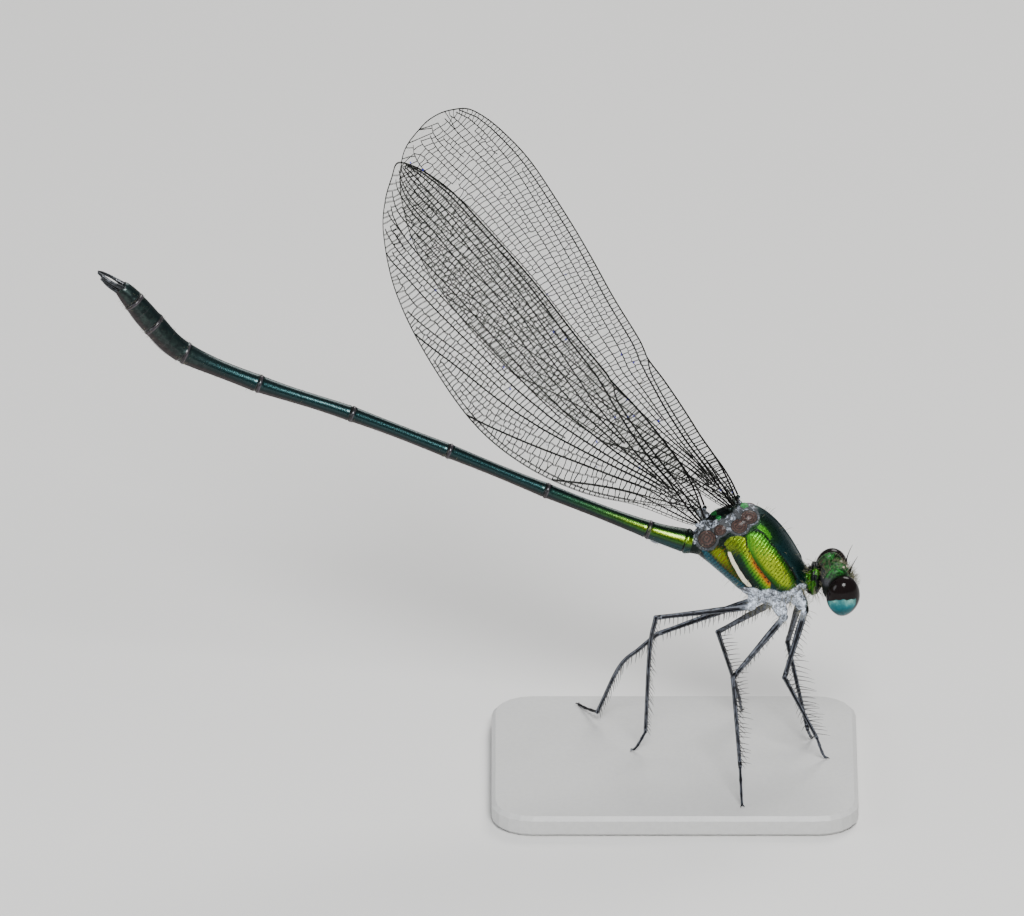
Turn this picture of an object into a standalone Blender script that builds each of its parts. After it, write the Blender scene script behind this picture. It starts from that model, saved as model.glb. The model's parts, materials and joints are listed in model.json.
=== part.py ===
"""A flashwing damselfly at life size, a still model that stands with its wings closed above it."""

import math
import random

import bmesh
import bpy
from mathutils import Matrix, Vector
from mathutils.geometry import delaunay_2d_cdt

# Every size below is in millimetres, x forward, y to the insect's left and z up from its soles.
# x and y start under the roots of the wings, and MIDDLE moves them to the middle of the footprint.
MM = 0.001
GAP = 0.3
BASE_SIZE = Vector((27.0, 21.0, 1.6))
BASE_MIDDLE = Vector((-3.3, -2.0, -GAP - BASE_SIZE.z / 2))
BASE_CORNER = 3.0
BASE_EDGE = 0.3
MIDDLE = Vector((-17.70, -2.0, -GAP - BASE_SIZE.z))
SMOOTH_ANGLE = math.radians(50)

BODY_SIDES = 20
LIMB_SIDES = 8
FEELER_SIDES = 6
SPINE_SIDES = 4

# Thorax: (x and z of its upper edge, x and z of its lower edge, half width), from the waist forward.
# A low ridge runs along the upper edge, and a short boss carries each wing.
RIDGE = 0.10
BOSS_RADII = (0.75, 0.42)
BOSS_DEPTH = Vector((1.4, 0.0, -2.2))
BOSS_NARROWED = 0.7
THORAX = (
    ((-1.75, 16.95), (-1.60, 15.50), 0.72),
    ((-1.35, 17.75), (-0.95, 14.80), 1.30),
    ((-0.30, 18.65), (0.40, 13.60), 1.72),
    ((1.10, 19.20), (1.70, 12.35), 1.92),
    ((2.70, 19.05), (2.90, 11.55), 1.98),
    ((3.90, 18.20), (3.90, 11.20), 1.90),
    ((4.90, 16.95), (4.75, 11.25), 1.72),
    ((5.75, 15.45), (5.45, 11.75), 1.35),
    ((6.30, 14.05), (6.00, 12.50), 0.85),
)
PROTHORAX = (
    ((6.58, 14.15), (6.30, 12.40), 0.80),
    ((6.90, 14.55), (6.70, 12.05), 1.10),
    ((7.35, 14.35), (7.15, 12.10), 1.02),
    ((7.62, 13.80), (7.45, 12.60), 0.55),
)

# Head: its middle, how far it is turned to the left and leans to the right, and its half axes
HEAD_MIDDLE = Vector((8.66, -0.05, 12.95))
HEAD_TURN = math.radians(14)
HEAD_LEAN = math.radians(-11)
HEAD_HALF = Vector((1.05, 2.00, 1.35))
HEAD_SIDE = 0.95
# Face: (middle, half axes) of the brow, upper lip and lower lip, whose crease is the mouth,
# then of one jaw and one of the two rear eyelets, and of the front eyelet
FACE = (
    (Vector((0.70, 0.0, -0.10)), Vector((0.66, 0.74, 0.58))),
    (Vector((0.82, 0.0, -0.78)), Vector((0.52, 0.64, 0.42))),
    (Vector((0.35, 0.0, -1.28)), Vector((0.62, 0.56, 0.40))),
)
JAW = (Vector((0.62, 0.62, -0.80)), Vector((0.34, 0.28, 0.42)))
EYELET = (Vector((0.12, 0.32, 1.24)), Vector((0.18, 0.18, 0.20)))
FRONT_EYELET = (Vector((0.42, 0.0, 1.20)), Vector((0.18, 0.18, 0.20)))
NECK_START = Vector((-0.40, 0.0, -0.10))
NECK_RADIUS = 0.40
EYE_OUT = 1.75
EYE_HALF = Vector((1.26, 1.10, 1.70))
FEELER_ROOT = Vector((0.65, 0.50, 0.95))
FEELER_REACH = (Vector((0.10, 0.08, 0.45)), Vector((0.22, 0.15, 0.95)), Vector((0.55, 0.25, 1.75)))
FEELER_RADII = (0.25, 0.20, 0.12)
FEELER_DEPTH = 0.45

# Abdomen: the joints between its ten segments, (x, z, radius there), from the waist to the tail
ABDOMEN = (
    (-2.02, 16.18, 0.72),
    (-2.62, 16.35, 0.90),
    (-5.40, 17.28, 0.68),
    (-12.90, 20.46, 0.56),
    (-20.07, 23.66, 0.55),
    (-27.20, 26.66, 0.58),
    (-34.00, 29.10, 0.66),
    (-39.40, 31.60, 0.82),
    (-41.68, 33.95, 0.89),
    (-43.10, 35.80, 0.78),
    (-43.95, 36.85, 0.60),
)
WAIST_SWELL = 1.12
JOINT_SWELL = 1.10
MID_SWELL = 0.92
WAIST_LOBE = (Vector((-4.55, 0.0, 16.35)), Vector((0.55, 0.38, 0.42)))

# Claspers: the tip of the upper pair, then each pair's place out and up on the last segment's end
CLASPER_TIP = Vector((-45.62, 0, 38.07))
CLASPER_ROOT = (0.36, 0.18)
CLASPER_BOW = (0.0, 0.26, 0.20, -0.22)
CLASPER_RADII = (0.22, 0.27, 0.24, 0.12)
LOWER_CLASPER_TIP = Vector((-44.85, 0, 36.90))
LOWER_CLASPER_ROOT = (0.15, -0.34)
LOWER_CLASPER_RADII = (0.19, 0.17, 0.09)

# Legs: hip, knee, any bend in the shin, ankle and foot
LEGS = {
    "front_left": ((6.00, 0.75, 11.35), (5.07, 2.60, 6.82), (), (6.54, -0.20, 1.00), (6.91, 0.87)),
    "front_right": ((6.35, -0.85, 11.25), (4.78, -3.40, 6.78), (), (7.20, -3.00, 1.64), (7.86, -2.60)),
    "mid_left": ((4.00, 1.15, 10.80), (-0.07, 3.60, 7.16), ((0.96, 4.10, 3.53),),
                 (1.54, 4.60, 1.26), (1.76, 5.57)),
    "mid_right": ((4.80, -1.15, 10.70), (0.96, -5.20, 7.62), (), (1.47, -9.60, 2.45), (1.62, -10.60)),
    "hind_left": ((2.60, 1.15, 11.00), (-4.56, 2.00, 7.75), ((-5.88, 2.30, 6.40), (-7.35, 2.85, 4.67)),
                  (-8.97, 3.70, 0.55), (-10.36, 6.60)),
    "hind_right": ((2.45, -1.15, 11.50), (-4.70, -2.80, 11.37), ((-5.15, -2.35, 8.55),),
                   (-5.44, -1.22, 1.30), (-6.32, -1.22)),
}
HIP_ROOTS = {"front": Vector((5.3, 0.35, 12.6)), "mid": Vector((4.0, 0.55, 12.4)),
             "hind": Vector((2.9, 0.55, 12.6))}
HIP_RADII = (0.85, 0.62, 0.42)
FEMUR_RADII = (0.30, 0.27, 0.26)
TIBIA_RADII = (0.25, 0.24, 0.24)
TARSUS_RADIUS = 0.23

# Spines of the thighs and shins: two rows on the inner side, leaning towards the foot
SPINE_LENGTH = 1.25
SPINE_SPACING = 0.95
SPINE_RADII = (0.17, 0.05)
SPINE_SPREAD = math.radians(38)
SPINE_LEAN = math.radians(28)
SPINE_VARIED = 0.15
SPINE_CLEAR = 0.25

# Soles: each foot's last stretch lies on the base's level, cut flat there
SOLE_RISE = 0.12
SOLE_LENGTH = 0.50

# Wings: the root, the way to the tip as an angle above the floor, and the rim from the root out
# along the front edge, round the tip and back, each point (along the wing, ahead of its axis)
WINGS = {
    "forewing": {
        "root": Vector((0.92, 0.75, 19.49)), "rise": math.radians(56.9), "spread": 0.43,
        "front": ((0.0, 0.45), (4.2, 0.90), (9.2, 1.10), (13.0, 1.12), (18.6, 1.66), (24.0, 2.22),
                  (29.8, 2.54), (34.0, 2.18)),
        "tip": ((37.0, 1.11), (37.95, -1.10), (37.75, -2.65), (36.6, -5.00)),
        "rear": ((33.5, -7.10), (28.5, -8.50), (21.5, -8.45), (15.0, -7.25), (9.0, -5.15),
                 (4.0, -2.45), (0.0, -0.50)),
    },
    "hindwing": {
        "root": Vector((-1.52, 1.15, 18.42)), "rise": math.radians(54.5), "spread": 1.29,
        "front": ((0.0, 0.45), (4.2, 1.30), (8.5, 1.32), (12.8, 1.04), (21.6, 1.04), (27.0, 0.76),
                  (31.5, 0.40)),
        "tip": ((34.0, -0.25), (35.9, -1.45), (35.3, -2.40), (34.0, -4.05)),
        "rear": ((31.9, -5.70), (27.8, -7.60), (22.6, -8.75), (16.0, -9.20), (11.0, -8.20),
                 (6.6, -6.00), (3.2, -3.10), (0.0, -0.55)),
    },
}
WING_HALF_THICKNESS = 0.20
TIP_HALF_THICKNESS = 0.13
TIP_TAPER = 8.0
WING_SPREAD_LENGTH = 7.0
RIM_STEPS = 3

# Main veins, as ridges of the membrane: (start and end as shares of the wing's length, then how
# far from the front to the rear edge they run at the start and the end, and how late they bend)
VEINS = {
    "radius": (0.05, 0.97, 0.13, 0.13, 1.0),
    "front branch": (0.15, 0.975, 0.30, 0.45, 2.0),
    "middle branch": (0.24, 0.93, 0.42, 0.80, 2.2),
    "rear branch": (0.12, 0.80, 0.55, 0.96, 2.0),
    "elbow vein": (0.09, 0.60, 0.72, 0.96, 1.8),
}
VEIN_STEPS = 8
VEIN_HALF_WIDTH = 0.30
VEIN_RISE = 0.08

COLOURS = {
    "cuticle_green": ((0.10, 0.22, 0.02), 0.30, 0.8),
    "cuticle_dark": ((0.01, 0.03, 0.03), 0.28, 0.6),
    "leg_grey": ((0.03, 0.035, 0.045), 0.50, 0.0),
    "eye": ((0.01, 0.05, 0.05), 0.12, 0.0),
    "wing": ((0.05, 0.05, 0.045), 0.45, 0.0),
    "stand": ((0.70, 0.69, 0.66), 0.50, 0.0),
}


def material(name):
    """The material of one finish, made once."""
    if name in bpy.data.materials:
        return bpy.data.materials[name]
    colour, roughness, metallic = COLOURS[name]
    made = bpy.data.materials.new(name)
    made.use_nodes = True
    shader = made.node_tree.nodes["Principled BSDF"]
    shader.inputs["Base Color"].default_value = (*colour, 1.0)
    shader.inputs["Roughness"].default_value = roughness
    shader.inputs["Metallic"].default_value = metallic
    return made


def spread_over(values, share):
    """The value at a share from 0 to 1 along evenly spaced values."""
    place = share * (len(values) - 1)
    step = min(int(place), len(values) - 2)
    return values[step] + (values[step + 1] - values[step]) * (place - step)


def curve_through(points, steps):
    """Points on a smooth curve through the given points, with some steps between each two."""
    ends = [points[0] * 2 - points[1], *points, points[-1] * 2 - points[-2]]
    made = []
    for a, b, c, d in zip(ends, ends[1:], ends[2:], ends[3:]):
        for step in range(steps):
            t = step / steps
            made.append((b * 2 + (c - a) * t + (a * 2 - b * 5 + c * 4 - d) * t**2
                         + (b * 3 - a - c * 3 + d) * t**3) / 2)
    return [*made, points[-1]]


def body_from_rings(rings):
    """A closed bmesh through rings of vertices, each a list of places, with flat ends."""
    bm = bmesh.new()
    loops = [[bm.verts.new(place) for place in ring] for ring in rings]
    for near, far in zip(loops, loops[1:]):
        for n in range(len(near)):
            m = (n + 1) % len(near)
            bm.faces.new((near[n], near[m], far[m], far[n]))
    bm.faces.new(loops[0])
    bm.faces.new(loops[-1])
    bmesh.ops.recalc_face_normals(bm, faces=bm.faces)
    return bm


def oval(middle, across, up, sides):
    """A ring round a middle, with the half axes across and up."""
    turns = [2 * math.pi * n / sides for n in range(sides)]
    return [middle + across * math.cos(turn) + up * math.sin(turn) for turn in turns]


def tube(path, radii, sides, first_cut=None, last_cut=None):
    """A round closed tube along a path. A cut is the normal of the plane that ends it."""
    rings = []
    side = None
    for n, place in enumerate(path):
        along = (path[min(n + 1, len(path) - 1)] - path[max(n - 1, 0)]).normalized()
        if side is None:
            side = along.cross(Vector((0, 1, 0.01))).normalized()
        side = (side - along * side.dot(along)).normalized()
        radius = spread_over(radii, n / (len(path) - 1))
        across, up = side * radius, along.cross(side) * radius
        ring = oval(place, across, up, sides)
        cut = first_cut if n == 0 else last_cut if n == len(path) - 1 else None
        if cut is not None:
            ring = [spot - along * (spot - place).dot(cut) / along.dot(cut) for spot in ring]
        rings.append(ring)
    return body_from_rings(rings)


def profile_body(stations, ridge):
    """A closed body from its upper edge, lower edge and half width at each station."""
    rings = []
    for (top_x, top_z), (low_x, low_z), half_width in stations:
        top, low = Vector((top_x, 0, top_z)), Vector((low_x, 0, low_z))
        ring = oval((top + low) / 2, Vector((0, half_width, 0)), (top - low) / 2, BODY_SIDES)
        ring[BODY_SIDES // 4] += (top - low).normalized() * ridge
        rings.append(ring)
    return body_from_rings(rings)


def ball(middle, half, segments=16, rings=12):
    """An ellipsoid with three half axes."""
    bm = bmesh.new()
    shape = Matrix.Translation(middle) @ Matrix.Diagonal((*half, 1.0))
    bmesh.ops.create_uvsphere(bm, u_segments=segments, v_segments=rings, radius=1.0, matrix=shape)
    return bm


def cut(bm, place, normal):
    """Cut away what lies on the normal's side of a plane, and close the cut with a flat face."""
    everything = [*bm.verts, *bm.edges, *bm.faces]
    done = bmesh.ops.bisect_plane(bm, geom=everything, plane_co=place, plane_no=normal,
                                  dist=1e-5, clear_outer=True)
    edges = [piece for piece in done["geom_cut"] if isinstance(piece, bmesh.types.BMEdge)]
    bmesh.ops.contextual_create(bm, geom=edges)
    bmesh.ops.recalc_face_normals(bm, faces=bm.faces)


def object_from(name, bm):
    """An object in the scene from a bmesh, which is freed."""
    mesh = bpy.data.meshes.new(name)
    bm.to_mesh(mesh)
    bm.free()
    made = bpy.data.objects.new(name, mesh)
    bpy.context.collection.objects.link(made)
    return made


def joined(core, pieces):
    """One closed bmesh from a core and the closed pieces that are rooted in it."""
    if not pieces:
        return core
    node = object_from("core", core)
    group = bpy.data.collections.new("pieces")
    bpy.context.scene.collection.children.link(group)
    for piece in pieces:
        rooted = object_from("piece", piece)
        group.objects.link(rooted)
    union = node.modifiers.new("union", "BOOLEAN")
    union.operation = "UNION"
    union.operand_type = "COLLECTION"
    union.collection = group
    depsgraph = bpy.context.evaluated_depsgraph_get()
    bm = bmesh.new()
    bm.from_object(node, depsgraph)
    for rooted in list(group.objects):
        bpy.data.objects.remove(rooted)
    bpy.data.objects.remove(node)
    bpy.data.collections.remove(group)
    keep_largest(bm)
    return bm


def keep_largest(bm):
    """Delete every closed surface but the one with the most faces."""
    surfaces, left = [], set(bm.faces)
    while left:
        surface, edge_of = set(), [left.pop()]
        while edge_of:
            face = edge_of.pop()
            surface.add(face)
            near = {other for edge in face.edges for other in edge.link_faces} & left
            left -= near
            edge_of.extend(near)
        surfaces.append(surface)
    surfaces.sort(key=len)
    scraps = [face for surface in surfaces[:-1] for face in surface]
    bmesh.ops.delete(bm, geom=scraps, context="FACES")


def add_node(name, bm, finish):
    """One sub-part of the model, moved to its place in metres."""
    bmesh.ops.transform(bm, matrix=Matrix.Scale(MM, 4) @ Matrix.Translation(-MIDDLE), verts=bm.verts)
    node = object_from(name, bm)
    node.data.materials.append(material(finish))
    node.data.shade_smooth()
    node.data.set_sharp_from_angle(angle=SMOOTH_ANGLE)
    return node


def side_of(name):
    """1 for a left piece and -1 for a right one."""
    return 1 if name.endswith("left") else -1


def mirrored(place, side):
    """A place given for the left side, on the side asked for."""
    return Vector((place.x, place.y * side, place.z))


def head_frame():
    """The head's place and turn."""
    return (Matrix.Translation(HEAD_MIDDLE) @ Matrix.Rotation(HEAD_TURN, 4, "Z")
            @ Matrix.Rotation(-HEAD_LEAN, 4, "X"))


def make_head():
    """The head between the eyes, with the face, eyelets, feelers' sockets and neck."""
    frame = head_frame()
    skull = ball(Vector(), HEAD_HALF)
    for side in (1, -1):
        cut(skull, Vector((0, side * HEAD_SIDE, 0)), Vector((0, side, 0)))
    lumps = [ball(middle, half, 12, 8) for middle, half in FACE]
    lumps.append(ball(*FRONT_EYELET, 8, 6))
    for side in (1, -1):
        lumps.append(ball(mirrored(JAW[0], side), JAW[1], 10, 6))
        lumps.append(ball(mirrored(EYELET[0], side), EYELET[1], 8, 6))
        root = mirrored(FEELER_ROOT, side)
        way = mirrored(FEELER_REACH[0], side).normalized()
        lumps.append(tube([root - way * FEELER_DEPTH, root], FEELER_RADII[:1] * 2, FEELER_SIDES))
    for bm in (skull, *lumps):
        bmesh.ops.transform(bm, matrix=frame, verts=bm.verts)
    neck = tube([frame @ NECK_START, neck_end()], (NECK_RADIUS, NECK_RADIUS), LIMB_SIDES)
    add_node("head", joined(skull, [*lumps, neck]), "cuticle_green")


def neck_end():
    """Where the neck meets the front of the prothorax."""
    (top_x, top_z), (low_x, low_z), _ = PROTHORAX[-1]
    front = Vector(((top_x + low_x) / 2, 0, (top_z + low_z) / 2))
    across = Vector((top_z - low_z, 0, low_x - top_x)).normalized()
    return front + across * GAP


def make_eyes():
    """The two eyes, cut flat where they meet the head."""
    for name in ("eye_left", "eye_right"):
        side = side_of(name)
        eye = ball(Vector((0, side * EYE_OUT, 0)), EYE_HALF)
        cut(eye, Vector((0, side * (HEAD_SIDE + GAP), 0)), Vector((0, -side, 0)))
        bmesh.ops.transform(eye, matrix=head_frame(), verts=eye.verts)
        add_node(name, eye, "eye")


def make_feelers():
    """The two short antennae, each rising from the top of the face."""
    frame = head_frame()
    for name in ("antenna_left", "antenna_right"):
        side = side_of(name)
        root = frame @ mirrored(FEELER_ROOT, side)
        bends = [frame @ mirrored(FEELER_ROOT + reach, side) for reach in FEELER_REACH]
        start = root + (bends[0] - root).normalized() * GAP
        add_node(name, tube([start, *bends], FEELER_RADII, FEELER_SIDES), "leg_grey")


def make_thorax():
    """The slanting thorax with the hips of the six legs, and the small ring before it."""
    rooted = []
    for name, (hip, *_) in LEGS.items():
        start = mirrored(HIP_ROOTS[name.split("_")[0]], side_of(name))
        end = Vector(hip)
        path = [start, (start + end) / 2, end]
        rooted.append(tube(path, HIP_RADII, LIMB_SIDES, last_cut=leg_way(name)))
    for wing in WINGS.values():
        out_along = wing_axes(wing)[0]
        for side in (1, -1):
            path = [mirrored(wing["root"] + BOSS_DEPTH, side * BOSS_NARROWED),
                    mirrored(wing["root"], side) - out_along * GAP]
            rooted.append(tube(path, BOSS_RADII, LIMB_SIDES, last_cut=out_along))
    add_node("thorax", joined(profile_body(THORAX, RIDGE), rooted), "cuticle_green")
    add_node("prothorax", profile_body(PROTHORAX, 0), "cuticle_green")


def leg_way(name):
    """The direction in which a leg leaves its hip."""
    hip, knee = LEGS[name][:2]
    return (Vector(knee) - Vector(hip)).normalized()


def spines(path, inner, seed):
    """Two rows of tapered spines along a limb's inner side, rooted on its middle line."""
    draw = random.Random(seed)
    made = []
    for start, end in zip(path, path[1:]):
        along = (end - start).normalized()
        across = (inner - along * inner.dot(along)).normalized()
        count = max(1, round((end - start).length / SPINE_SPACING))
        for step in range(count):
            for row in (1, -1):
                out = Matrix.Rotation(row * SPINE_SPREAD, 3, along) @ across
                way = out * math.cos(SPINE_LEAN) + along * math.sin(SPINE_LEAN)
                root = start.lerp(end, (step + 0.5) / count)
                reach = SPINE_LENGTH * draw.uniform(1 - SPINE_VARIED, 1 + SPINE_VARIED)
                tip = root + way * reach
                if tip.z > SPINE_CLEAR:
                    made.append(tube([root, tip], SPINE_RADII, SPINE_SIDES))
    return made


def make_leg(name):
    """A leg in three lengths: thigh, shin and foot."""
    hip, knee, bends, ankle, (foot_x, foot_y) = LEGS[name]
    hip, knee, ankle = Vector(hip), Vector(knee), Vector(ankle)
    sole = Vector((foot_x, foot_y, SOLE_RISE))
    way = leg_way(name)
    thigh = curve_through([hip + way * GAP, (hip + knee) / 2, knee], 2)
    shin = curve_through([knee, *[Vector(bend) for bend in bends], ankle], 3)
    knee_cut = ((shin[1] - knee).normalized() + way).normalized()
    ankle_cut = ((sole - ankle).normalized() + (ankle - shin[-2]).normalized()).normalized()
    thigh[-1] = knee - way * (GAP / 2 / way.dot(knee_cut))
    shin_way = (shin[1] - shin[0]).normalized()
    shin[0] = knee + shin_way * (GAP / 2 / shin_way.dot(knee_cut))
    end_way = (ankle - shin[-2]).normalized()
    shin[-1] = ankle - end_way * (GAP / 2 / end_way.dot(ankle_cut))
    femur = tube(thigh, FEMUR_RADII, LIMB_SIDES, way, knee_cut)
    tibia = tube(shin, TIBIA_RADII, LIMB_SIDES, knee_cut, ankle_cut)
    femur = joined(femur, spines(thigh, ankle - knee, f"{name} femur"))
    tibia = joined(tibia, spines(shin, hip - knee, f"{name} tibia"))
    add_node(f"leg_{name}_femur", femur, "leg_grey")
    add_node(f"leg_{name}_tibia", tibia, "leg_grey")
    foot_way = (sole - ankle).normalized()
    level = Vector((foot_way.x, foot_way.y, 0)).normalized()
    path = [ankle + foot_way * (GAP / 2 / foot_way.dot(ankle_cut)), sole - level * SOLE_LENGTH / 2, sole]
    foot = tube(path, (TARSUS_RADIUS,) * 2, LIMB_SIDES, ankle_cut)
    cut(foot, Vector(), Vector((0, 0, -1)))
    add_node(f"leg_{name}_tarsus", foot, "leg_grey")


def make_abdomen():
    """Ten segments, each a little swollen at its ends, and the claspers at the tail."""
    places = [Vector((x, 0, z)) for x, z, _ in ABDOMEN]
    ways = [(places[min(n + 1, 10)] - places[max(n - 1, 0)]).normalized() for n in range(11)]
    for n in range(10):
        a, b = places[n], places[n + 1]
        near, far = ABDOMEN[n][2], ABDOMEN[n + 1][2]
        inset = min(0.12, 0.2 / (b - a).length)
        rings = []
        for share, swell in ((0, 1), (inset, 1.04), (0.5, MID_SWELL if n > 1 else WAIST_SWELL),
                             (1 - inset, JOINT_SWELL), (1, 1.03)):
            way = ways[n].lerp(ways[n + 1], share).normalized()
            room = (b - a).normalized()
            place = a + room * GAP / 2 + (b - a - room * GAP) * share
            radius = (near + (far - near) * share) * swell
            rings.append(oval(place, Vector((0, radius, 0)), Vector((-way.z, 0, way.x)) * radius,
                              BODY_SIDES))
        grown = {1: [ball(*WAIST_LOBE, 10, 8)], 9: lower_claspers(places[-1], ways[-1])}.get(n, [])
        add_node(f"abdomen_{n + 1}", joined(body_from_rings(rings), grown), "cuticle_dark")
    make_claspers(places[-1], ways[-1])


def end_place(end, way, side, root):
    """A place on the tail's end face, out to a side and up."""
    out, up = root
    return end + Vector((0, side * out, 0)) + Vector((way.z, 0, -way.x)) * up


def lower_claspers(end, way):
    """The short lower pair, rooted in the last segment."""
    made = []
    for side in (1, -1):
        root = end_place(end, way, side, LOWER_CLASPER_ROOT)
        tip = LOWER_CLASPER_TIP + Vector((0, side * LOWER_CLASPER_ROOT[0], 0))
        made.append(tube([root - way * GAP * 2, root, tip], LOWER_CLASPER_RADII, LIMB_SIDES))
    return made


def make_claspers(end, way):
    """The upper pair, bowed out like tongs."""
    for name in ("clasper_left", "clasper_right"):
        side = side_of(name)
        start = end_place(end, way, side, CLASPER_ROOT) + way * GAP / 2
        path = []
        for n, bow in enumerate(CLASPER_BOW):
            place = start.lerp(CLASPER_TIP, n / (len(CLASPER_BOW) - 1))
            path.append(Vector((place.x, side * (CLASPER_ROOT[0] + bow), place.z)))
        add_node(name, tube(path, CLASPER_RADII, LIMB_SIDES, way), "cuticle_dark")


def wing_axes(wing):
    """The directions along a wing to its tip and across it to its front edge."""
    rise = wing["rise"]
    return Vector((-math.cos(rise), 0, math.sin(rise))), Vector((math.sin(rise), 0, math.cos(rise)))


def wing_rim(wing):
    """The wing's outline as places (along, ahead), smooth, and where its rear edge starts in it."""
    points = [Vector(point) for part in ("front", "tip", "rear") for point in wing[part]]
    rim = curve_through(points, RIM_STEPS)
    return rim, rim.index(max(rim, key=lambda place: place.x))


def edge_at(edge, along):
    """How far ahead an edge lies at a distance along the wing."""
    for near, far in zip(edge, edge[1:]):
        if min(near.x, far.x) <= along <= max(near.x, far.x):
            share = (along - near.x) / (far.x - near.x)
            return near.y + (far.y - near.y) * share
    return edge[-1].y


def vein_path(rim, turn, vein):
    """A vein's places from its start to its end, between the front and rear edges."""
    start, end, first, last, bend = vein
    length = rim[turn].x
    path = []
    for step in range(VEIN_STEPS + 1):
        t = step / VEIN_STEPS
        along = length * (start + (end - start) * t)
        share = first + (last - first) * t**bend
        front, rear = edge_at(rim[:turn + 1], along), edge_at(rim[turn:], along)
        path.append(Vector((along, front + (rear - front) * share)))
    return path


def beside(path, offset):
    """A path moved sideways by an offset."""
    made = []
    for n, place in enumerate(path):
        way = (path[min(n + 1, len(path) - 1)] - path[max(n - 1, 0)]).normalized()
        made.append(place + Vector((-way.y, way.x)) * offset)
    return made


def distance_to(path, place):
    """How far a place is from a path of straight stretches."""
    nearest = math.inf
    for near, far in zip(path, path[1:]):
        stretch = far - near
        share = min(max((place - near).dot(stretch) / stretch.length_squared, 0.0), 1.0)
        nearest = min(nearest, (near + stretch * share - place).length)
    return nearest


def wing_sheet(wing):
    """Flat places and triangles inside the wing's rim, and how far each place stands out."""
    rim, turn = wing_rim(wing)
    veins = [vein_path(rim, turn, vein) for vein in VEINS.values()]
    front_edge = rim[:turn + 1]
    lines = [beside(front_edge[:-RIM_STEPS], -VEIN_HALF_WIDTH)[RIM_STEPS:]]
    for vein in veins:
        lines += [vein, beside(vein, VEIN_HALF_WIDTH), beside(vein, -VEIN_HALF_WIDTH)]
    places, edges = list(rim), []
    for line in lines:
        edges += [(len(places) + n, len(places) + n + 1) for n in range(len(line) - 1)]
        places += line
    flat, _, triangles, _, _, _ = delaunay_2d_cdt(places, edges, [list(range(len(rim)))], 1, 1e-3)
    rises = []
    for place in flat:
        nearest = min(distance_to(line, place) for line in (front_edge, *veins))
        rises.append(VEIN_RISE * max(0.0, 1 - nearest / VEIN_HALF_WIDTH))
    return flat, triangles, rises


def make_wing(kind, side_name):
    """One wing: two like faces joined round the rim."""
    wing, side = WINGS[kind], side_of(side_name)
    out_along, forward = wing_axes(wing)
    flat, triangles, rises = wing_sheet(wing)
    length = max(place.x for place in flat)
    bm = bmesh.new()
    upper, lower = [], []
    for place, rise in zip(flat, rises):
        share = min(max(place.x / WING_SPREAD_LENGTH, 0.0), 1.0)
        ease = share * share * (3 - 2 * share)
        y = wing["root"].y + (wing["spread"] - wing["root"].y) * ease
        thin = max(0.0, 1 - (length - place.x) / TIP_TAPER)
        half = WING_HALF_THICKNESS + (TIP_HALF_THICKNESS - WING_HALF_THICKNESS) * thin + rise
        spot = mirrored(wing["root"], 0) + out_along * place.x + forward * place.y
        upper.append(bm.verts.new(spot + Vector((0, side * y + half, 0))))
        lower.append(bm.verts.new(spot + Vector((0, side * y - half, 0))))
    for a, b, c in triangles:
        bm.faces.new((upper[a], upper[b], upper[c]))
        bm.faces.new((lower[c], lower[b], lower[a]))
    bmesh.ops.bridge_loops(bm, edges=[edge for edge in bm.edges if edge.is_boundary])
    bmesh.ops.delete(bm, geom=[vert for vert in bm.verts if not vert.link_faces], context="VERTS")
    bmesh.ops.recalc_face_normals(bm, faces=bm.faces)
    add_node(f"{kind}_{side_name}", bm, "wing")


def make_base():
    """The flat plate that the soles stand on, with round corners and eased edges."""
    bm = bmesh.new()
    shape = Matrix.Translation(BASE_MIDDLE) @ Matrix.Diagonal((*BASE_SIZE, 1.0))
    bmesh.ops.create_cube(bm, size=1.0, matrix=shape)
    upright = [edge for edge in bm.edges if abs(edge.verts[0].co.z - edge.verts[1].co.z) > GAP]
    bmesh.ops.bevel(bm, geom=upright, offset=BASE_CORNER, segments=5, profile=0.5, affect="EDGES")
    level = [edge for edge in bm.edges if abs(edge.verts[0].co.z - edge.verts[1].co.z) < GAP]
    bmesh.ops.bevel(bm, geom=level, offset=BASE_EDGE, segments=1, profile=0.5, affect="EDGES")
    add_node("stand_base", bm, "stand")


def main():
    for old in list(bpy.data.objects):
        bpy.data.objects.remove(old)
    make_head()
    make_eyes()
    make_feelers()
    make_thorax()
    make_abdomen()
    for name in LEGS:
        make_leg(name)
    for kind in WINGS:
        for side_name in ("left", "right"):
            make_wing(kind, side_name)
    make_base()


if __name__ == "__main__":
    main()
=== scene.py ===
"""A flashwing damselfly at life size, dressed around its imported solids.

One skin goes over the thorax and abdomen, and finer legs, head, veined wings and bristles take the
place of the solids' plain ones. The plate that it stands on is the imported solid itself.
"""

import json
import math
import random
from itertools import accumulate

import bmesh
import bpy
import numpy as np
from mathutils import Matrix, Vector, noise

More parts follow.
